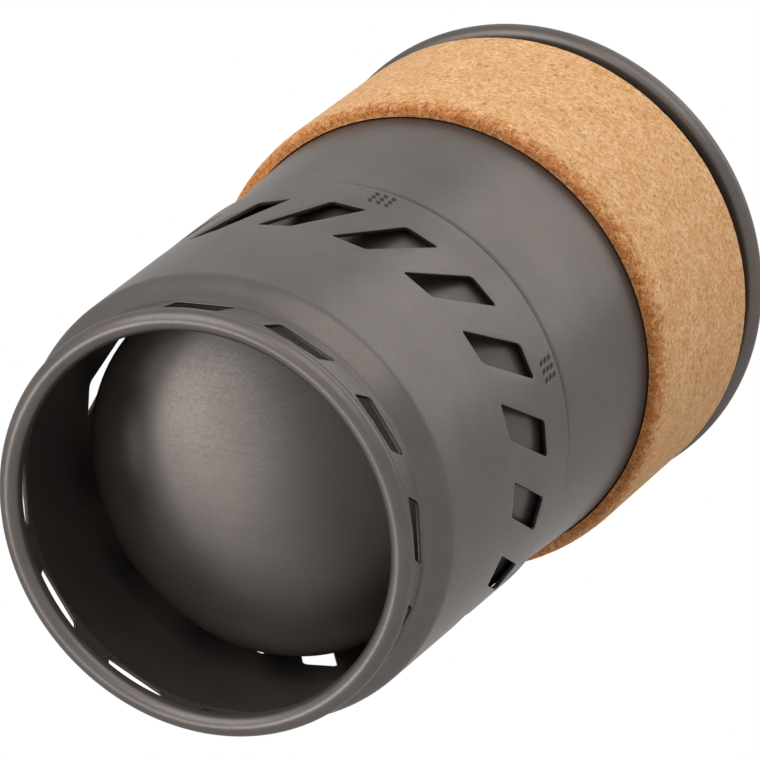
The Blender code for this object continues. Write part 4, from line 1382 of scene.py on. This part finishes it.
@dataclass
class BurnerHead:
    """Burner bowl with its screen, ring, diffuser, heat shield, mixing tube and screws."""

    base: float = STOWED
    screen_height: float = STOWED + 1.8 * MM
    screen_radius: float = 33.6 * MM
    wire: float = 0.48 * MM
    pitch: float = 1.9 * MM
    bowl_low: float = STOWED + 2.6 * MM
    screw_circle: float = 11.3 * MM
    screw_phase: float = math.radians(30.0)
    screw_hole: float = 1.5 * MM
    air_hole: float = 2.2 * MM
    air_height: float = STOWED + 41.0 * MM

    def ring(self) -> Workpiece:
        """Pressed ring with an inward lip that holds the screen."""
        profile = above(self.base, (37, 4.2), (37, 0), (31.4, 0), (31.4, 1), (34.4, 1), (34.4, 4.2))
        return self.lathed("screen_ring", profile, 0.5 * MM).dress(STEEL, Body.BURNER, "burner_ring")

    def lathed(self, name: str, profile: Profile, edge: float, steps: int = ROUND_STEPS) -> Workpiece:
        """A ring-shaped piece with rounded edges."""
        return Workpiece(name, turned(rounded(profile, edge, closed=True), steps))

    def drill(self, piece: Workpiece, finish: Finish, height: float, depth: float = 8 * MM) -> Workpiece:
        """Make the three screw holes in a piece."""
        return piece.arrange(round_holes(), finish, Count=3, Circle=self.screw_circle, Phase=self.screw_phase,
                             Step=2 * math.pi / 3, Radius=self.screw_hole, Height=height, Depth=depth)

    def screen(self) -> Workpiece:
        """Woven wire screen, its cut ends under the ring's lip.

        Returns:
            The piece.
        """
        count = 2 * int(self.screen_radius / self.pitch) + 1
        piece = Workpiece("wire_screen", bmesh.new())
        piece.arrange(woven_wire(), STEEL, Count=count, Pitch=self.pitch, Wire=self.wire,
                      Radius=self.screen_radius, Height=self.screen_height)
        return piece.dress(STEEL, Body.BURNER, "burner_screen")

    def bowl(self) -> Workpiece:
        """Cast bowl with a stepped rim.

        Returns:
            The piece.
        """
        profile = above(self.bowl_low, (8.3, 18), (17, 18), (33.6, 8.3), (33.6, 2.2), (34.1, 1.9), (34.1, 0),
                        (33.1, 0), (33.1, 7.5), (16.5, 17), (8.3, 17))
        piece = self.drill(self.lathed("bowl", profile, 1.1 * MM), CAST, self.bowl_low + 17 * MM)
        return piece.dress(CAST, Body.BURNER, "burner_bowl")

    def diffuser(self) -> Workpiece:
        """Thin plate that spreads the gas, with eight holes.

        Returns:
            The piece.
        """
        low = self.base + 6.6 * MM
        piece = Workpiece("diffuser", turned(disc(32.8 * MM, low, low + MM, 0.3 * MM), closed=False))
        piece.arrange(round_holes(), STEEL, Count=8, Circle=20 * MM, Step=math.pi / 4, Radius=2 * MM,
                      Height=low)
        return piece.dress(STEEL, Body.BURNER, "gas_diffuser")

    def shield(self) -> Workpiece:
        """Thin heat shield.

        Returns:
            The piece.
        """
        profile = above(self.base, (30, 21.7), (30, 20.9), (8.3, 20.9), (8.3, 21.7))
        piece = self.drill(self.lathed("shield", profile, 0.25 * MM), STEEL, self.base + 20.9 * MM)
        return piece.dress(STEEL, Body.BURNER, "heat_shield")

    def tube(self) -> Workpiece:
        """Mixing tube with its flange and four air holes.

        Returns:
            The piece.
        """
        profile = above(self.base, (8, 50), (8, 23.5), (14.5, 23.5), (14.5, 22), (8, 22), (8, 18.1),
                        (6.7, 18.1), (6.7, 50))
        piece = self.lathed("tube", profile, 0.4 * MM, 192)
        for angle in (45, 135):
            drill = rod_along_x(self.air_hole, -12 * MM, 12 * MM, (0.0, 0.0))
            turn = Matrix.Translation((0, 0, self.air_height)) @ Matrix.Rotation(math.radians(angle), 4, "Z")
            bmesh.ops.transform(drill, matrix=turn, verts=drill.verts[:])
            piece.combine(Cut.TAKE_AWAY, drill)
        self.drill(piece, BRASS, self.base + 22.69 * MM, 4 * MM)
        return piece.dress(BRASS, Body.BURNER, "mixing_tube")

    def screws(self) -> Workpiece:
        """Three pan-head screws, each with a hexagon recess.

        Returns:
            The three in one piece.
        """
        seat, top, round_edge = self.base + 23.8 * MM, self.base + 25.2 * MM, 0.5 * MM
        head = arc((2.2 * MM - round_edge, top - round_edge), round_edge, 90.0, 0.0, 4)
        threads = above(seat, *[(1.0 if i % 2 else 1.2, -0.8 - i * 0.25) for i in range(18)])
        profile = [(0.0, top), *head, *above(seat, (2.2, 0), (1.2, 0)), *threads,
                   *above(self.base, (0.8, 18.1), (0, 18.1))]
        one = Workpiece("screws", turned(profile, 32, closed=False))
        one.combine(Cut.TAKE_AWAY, turned(disc(1.0 * MM, top - 0.9 * MM, top + MM, 0.0), 6, closed=False))
        one.arrange(round_the_axis(), STEEL, Count=3, Circle=self.screw_circle, Phase=self.screw_phase)
        return one.dress(STEEL, Body.BURNER, "burner_screw_1", "burner_screw_2", "burner_screw_3")

    def jet(self) -> Workpiece:
        """Gas jet with a coned tip and a fine bore."""
        profile = above(self.base, (3.2, 50), (3.2, 46), (1.4, 44), (0.6, 44), (0.6, 50))
        return self.lathed("jet", profile, 0.2 * MM, SMALL_STEPS).dress(BRASS, Body.BURNER, "gas_jet")

    def build(self) -> list[Workpiece]:
        """Make the burner head's pieces."""
        return [self.ring(), self.screen(), self.bowl(), self.diffuser(), self.shield(), self.tube(),
                self.screws(), self.jet()]


@dataclass
class GasValve:
    """Valve body with its nut, spindle and knob, and the collar that screws on a gas canister.

    Sizes of the body, the collar and the thread are in millimetres, with heights above the base.
    """

    base: float = STOWED
    body_low: float = 50.3
    body_top: float = 70.3
    body_radius: float = 11.0
    axis: Point = (0.0, STOWED + 60.3 * MM)
    bore: float = 2.95 * MM
    knob_start: float = 16.65 * MM
    knob_radius: float = 9.0 * MM
    lobes: int = 6
    lobe_depth: float = 0.8 * MM
    collar_radius: float = 17.0
    collar_low: float = 70.6
    collar_top: float = 83.6
    collar_bore: float = 5.8
    pin_bore: float = 1.2
    thread_low: float = 74.89
    thread_pitch: float = 0.907
    thread_depth: float = 0.45
    knurls: int = 60
    knurl_depth: float = 0.45 * MM

    def body(self) -> Workpiece:
        """Turned valve body with two grooves and the spindle's hole.

        Returns:
            The piece.
        """
        low, top, outer = self.body_low, self.body_top, self.body_radius
        points = [(0, top), (outer - 1, top), (outer, top - 1)]
        for level in (top - 3.2, low + 4.0):
            points += [(outer, level), (outer - 0.5, level - 0.3), (outer - 0.5, level - 0.7),
                       (outer, level - 1)]
        points += [(outer, low + 1), (outer - 1, low), (0, low)]
        shape = turned(rounded(above(self.base, *points), 0.2 * MM), 240, closed=False)
        hole = rod_along_x(self.bore, 5 * MM, 20 * MM, self.axis)
        piece = Workpiece("valve_block", shape).combine(Cut.TAKE_AWAY, hole)
        return piece.dress(BRASS, Body.BURNER, "valve_body")

    def nut(self) -> Workpiece:
        """Hexagonal packing nut with its corners turned off.

        Returns:
            The piece.
        """
        place = Vector((11.3 * MM, *self.axis))
        prism = laid_along_x(turned(disc(5.2 * MM, 0.0, 5 * MM, 0.0), 6, closed=False), place)
        dome = turned(above(0.0, (0, 5), (4.3, 5), (5.4, 4.4), (5.4, 0), (0, 0)), closed=False)
        piece = Workpiece("nut", prism).combine(Cut.KEEP, laid_along_x(dome, place))
        piece.combine(Cut.TAKE_AWAY, rod_along_x(self.bore, 0.0, 20 * MM, self.axis))
        return piece.soften(0.15 * MM).dress(BRASS, Body.BURNER, "packing_nut")

    def spindle(self) -> Workpiece:
        """Polished spindle."""
        rod = rod_along_x(2.6 * MM, 5.35 * MM, 21.35 * MM, self.axis, 0.3 * MM)
        return Workpiece("spindle", rod).dress(STEEL, Body.KNOB, "valve_spindle")

    def lobed(self, share: float, radius: float) -> float:
        """Radius of the knob, waved round its rim."""
        wave = 0.5 - 0.5 * math.cos(2 * math.pi * share)
        return radius - self.lobe_depth * (radius / self.knob_radius) ** 4 * wave

    def knob(self) -> Workpiece:
        """Moulded knob with six soft lobes, a dished face and a pointer groove.

        Returns:
            The piece.
        """
        profile = rounded(above(0.0, (0, 8.2), (5.6, 8.2), (6.3, 9), (9, 9), (9, 0), (0, 0)), 0.9 * MM)
        piece = Workpiece("knob", wedge(profile, 2 * math.pi / self.lobes, 24, self.lobed))
        piece.arrange(round_the_axis(), NYLON, Count=self.lobes)
        pointer = box(((6.4 * MM, -0.45 * MM, 8.5 * MM), (10 * MM, 0.45 * MM, 12 * MM)))
        piece.combine(Cut.TAKE_AWAY, pointer)
        piece.item.data.transform(Matrix.Translation((self.knob_start, *self.axis)) @ ALONG_X)
        piece.combine(Cut.TAKE_AWAY, rod_along_x(2.9 * MM, 16 * MM, 21.65 * MM, self.axis))
        return piece.dress(NYLON, Body.KNOB, "control_knob")

    def knurled(self, share: float, radius: float) -> float:
        """Radius of the collar, notched where its rim is straight."""
        notch = self.knurl_depth * (1 - abs(2 * share - 1))
        return radius - (notch if radius > (self.collar_radius - 0.01) * MM else 0.0)

    def collar(self) -> Workpiece:
        """Knurled collar with the canister's thread in its bore.

        Returns:
            The piece.
        """
        low, top, outer = self.collar_low, self.collar_top, self.collar_radius
        bore, crest, level = self.collar_bore, self.collar_bore - self.thread_depth, self.thread_low
        points = [(self.pin_bore, low), (self.pin_bore, 72.6), (bore, 72.6), (bore, level)]
        while level < top - 1.6:
            points += [(bore, level), (crest, level + 0.3), (crest, level + 0.45), (bore, level + 0.75)]
            level += self.thread_pitch
        points += [(bore, top - 0.9), (6.7, top), (outer - 1.2, top), (outer, top - 1), (outer, top - 1.9),
                   (outer, low + 1.9), (outer, low + 1), (outer - 1.2, low), (self.pin_bore, low)]
        shape = wedge(above(self.base, *points), 2 * math.pi / self.knurls, 6, self.knurled)
        piece = Workpiece("collar", shape).arrange(round_the_axis(), BRASS, Count=self.knurls)
        return piece.dress(BRASS, Body.BURNER, "canister_collar")

    def seal(self) -> Workpiece:
        """O-ring that seals on the canister's valve."""
        shape = turned(arc((4.7 * MM, self.base + 73.7 * MM), 0.8 * MM, 0.0, 345.0, 23), SMALL_STEPS)
        return Workpiece("o_ring", shape).dress(SILICONE, Body.BURNER, "collar_o_ring")

    def pin(self) -> Workpiece:
        """Pin that opens the canister's valve."""
        rod = disc(0.9 * MM, self.base + 70.6 * MM, self.base + 75.2 * MM, 0.25 * MM)
        return Workpiece("valve_pin", turned(rod, 48, closed=False)).dress(STEEL, Body.BURNER, "opening_pin")

    def build(self) -> list[Workpiece]:
        """Make the valve's pieces and the collar."""
        return [self.body(), self.nut(), self.spindle(), self.knob(), self.collar(), self.seal(), self.pin()]


# Studio


@dataclass(frozen=True)
class Lamp:
    """A square soft lamp, and its direction from the object along the camera's own axes."""

    name: str
    forward: float
    up: float
    right: float
    size: float
    watts: float


@dataclass
class Studio:
    """Camera at the photograph's angle, plain soft lamps, a white world and a pale floor."""

    place: Place = (0.0, -0.91249, -1.38928)
    right: Place = (0.6277, -0.6628, 0.40828)
    up: Place = (-0.77846, -0.53435, 0.32936)
    lens: float = 378.95
    shift: Point = (-0.000997, 0.003951)
    middle: Place = (0.0, 0.0, 0.09)
    gap: float = 1.3
    ambient: float = 0.45
    lamps: tuple[Lamp, ...] = (
        Lamp("key", -0.7, 0.7, 0.3, 1.1, 6.0), Lamp("fill", -0.7, 0.45, -0.7, 1.0, 9.0),
        Lamp("rim", 0.3, 0.6, 0.7, 1.1, 4.3), Lamp("back", 0.5, 0.8, 0.1, 1.1, 1.3),
        Lamp("glow", -0.48, -0.39, -0.79, 0.4, 4.2))

    def axes(self) -> tuple[Vector, Vector, Vector]:
        """Right, up and forward of the photograph's camera, made square to each other.

        Returns:
            The three axes.
        """
        right = Vector(self.right).normalized()
        forward = Vector(self.up).cross(right).normalized()
        return right, right.cross(forward), forward

    def put(self, name: str, data: bpy.types.ID) -> bpy.types.Object:
        """Make an object of some data and link it to the scene.

        Args:
            name: The object's name.
            data: Its mesh, lamp or camera.

        Returns:
            The object.
        """
        made = bpy.data.objects.new(name, data)
        bpy.context.scene.collection.objects.link(made)
        return made

    def camera(self) -> None:
        """Make the camera."""
        right, up, forward = self.axes()
        data = bpy.data.cameras.new("camera")
        data.lens, data.sensor_width, data.clip_end = self.lens, 36.0, 20.0
        data.shift_x, data.shift_y = self.shift
        made = self.put("camera", data)
        turn = Matrix((right, up, -forward)).transposed().to_4x4()
        made.matrix_world = Matrix.Translation(self.place) @ turn
        bpy.context.scene.camera = made

    def light(self, lamp: Lamp) -> None:
        """Make a lamp that looks at the object and isn't seen itself.

        Args:
            lamp: What to make.
        """
        right, up, forward = self.axes()
        away = forward * lamp.forward + up * lamp.up + right * lamp.right
        data = bpy.data.lights.new(lamp.name, "AREA")
        data.energy, data.size = lamp.watts, lamp.size
        made = self.put(lamp.name, data)
        made.location = Vector(self.middle) + away.normalized() * self.gap
        made.rotation_euler = away.to_track_quat("Z", "Y").to_euler()
        made.visible_camera = False

    def world(self) -> None:
        """White to the camera, in reflections and through glass, and a plain soft light on surfaces."""
        world = bpy.data.worlds.new("studio")
        bpy.context.scene.world = world
        world.use_nodes = True
        nodes = Nodes(world.node_tree)
        nodes.tree.nodes.clear()
        path = nodes.add("ShaderNodeLightPath").outputs
        seen = nodes.math("MAXIMUM", path["Is Camera Ray"], path["Is Glossy Ray"])
        seen = nodes.math("MAXIMUM", seen, path["Is Transmission Ray"])
        strength = nodes.out("ShaderNodeMapRange", {"Value": seen, "To Min": self.ambient, "To Max": 1.0})
        back = nodes.out("ShaderNodeBackground", {"Color": linear("#ffffff"), "Strength": strength})
        nodes.add("ShaderNodeOutputWorld", {0: back})

    def floor(self) -> None:
        """A pale floor that only shows from above, so that the camera below it sees the object."""
        bm = bmesh.new()
        bmesh.ops.create_circle(bm, cap_ends=True, segments=96, radius=4.0)
        mesh = bpy.data.meshes.new("floor")
        bm.to_mesh(mesh)
        bm.free()
        made = self.put("floor", mesh)
        made.location.z = -0.05 * MM
        paint = bpy.data.materials.new("floor_paint")
        paint.use_nodes = True
        nodes = Nodes(paint.node_tree)
        nodes.tree.nodes.clear()
        seen = nodes.add("ShaderNodeLightPath").outputs["Is Camera Ray"]
        below = nodes.add("ShaderNodeNewGeometry").outputs["Backfacing"]
        shown = nodes.math("MULTIPLY", seen, nodes.math("SUBTRACT", 1.0, below))
        clear = nodes.out("ShaderNodeBsdfTransparent")
        matt = nodes.out("ShaderNodeBsdfDiffuse", {"Color": linear("#f4f4f2")})
        mixed = nodes.out("ShaderNodeMixShader", {0: shown, 1: clear, 2: matt})
        nodes.add("ShaderNodeOutputMaterial", {0: mixed})
        mesh.materials.append(paint)

    def build(self) -> None:
        """Set up the camera, lamps, world and floor."""
        self.camera()
        for lamp in self.lamps:
            self.light(lamp)
        self.world()
        self.floor()
        bpy.context.scene.view_settings.view_transform = "Standard"


def main() -> None:
    """Build every piece, light it and set up the camera."""
    logging.basicConfig(level=logging.INFO, format="%(name)s: %(message)s")
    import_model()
    for part in (HeatSkirt(), PotBody(), CorkSleeve(), PlugLid(), BurnerHead(), GasValve()):
        for piece in part.build():
            count = len(piece.item.data.polygons)
            LOG.info("%s: %s with %d faces", type(part).__name__, piece.item.name, count)
    Studio().build()


if __name__ == "__main__":
    main()
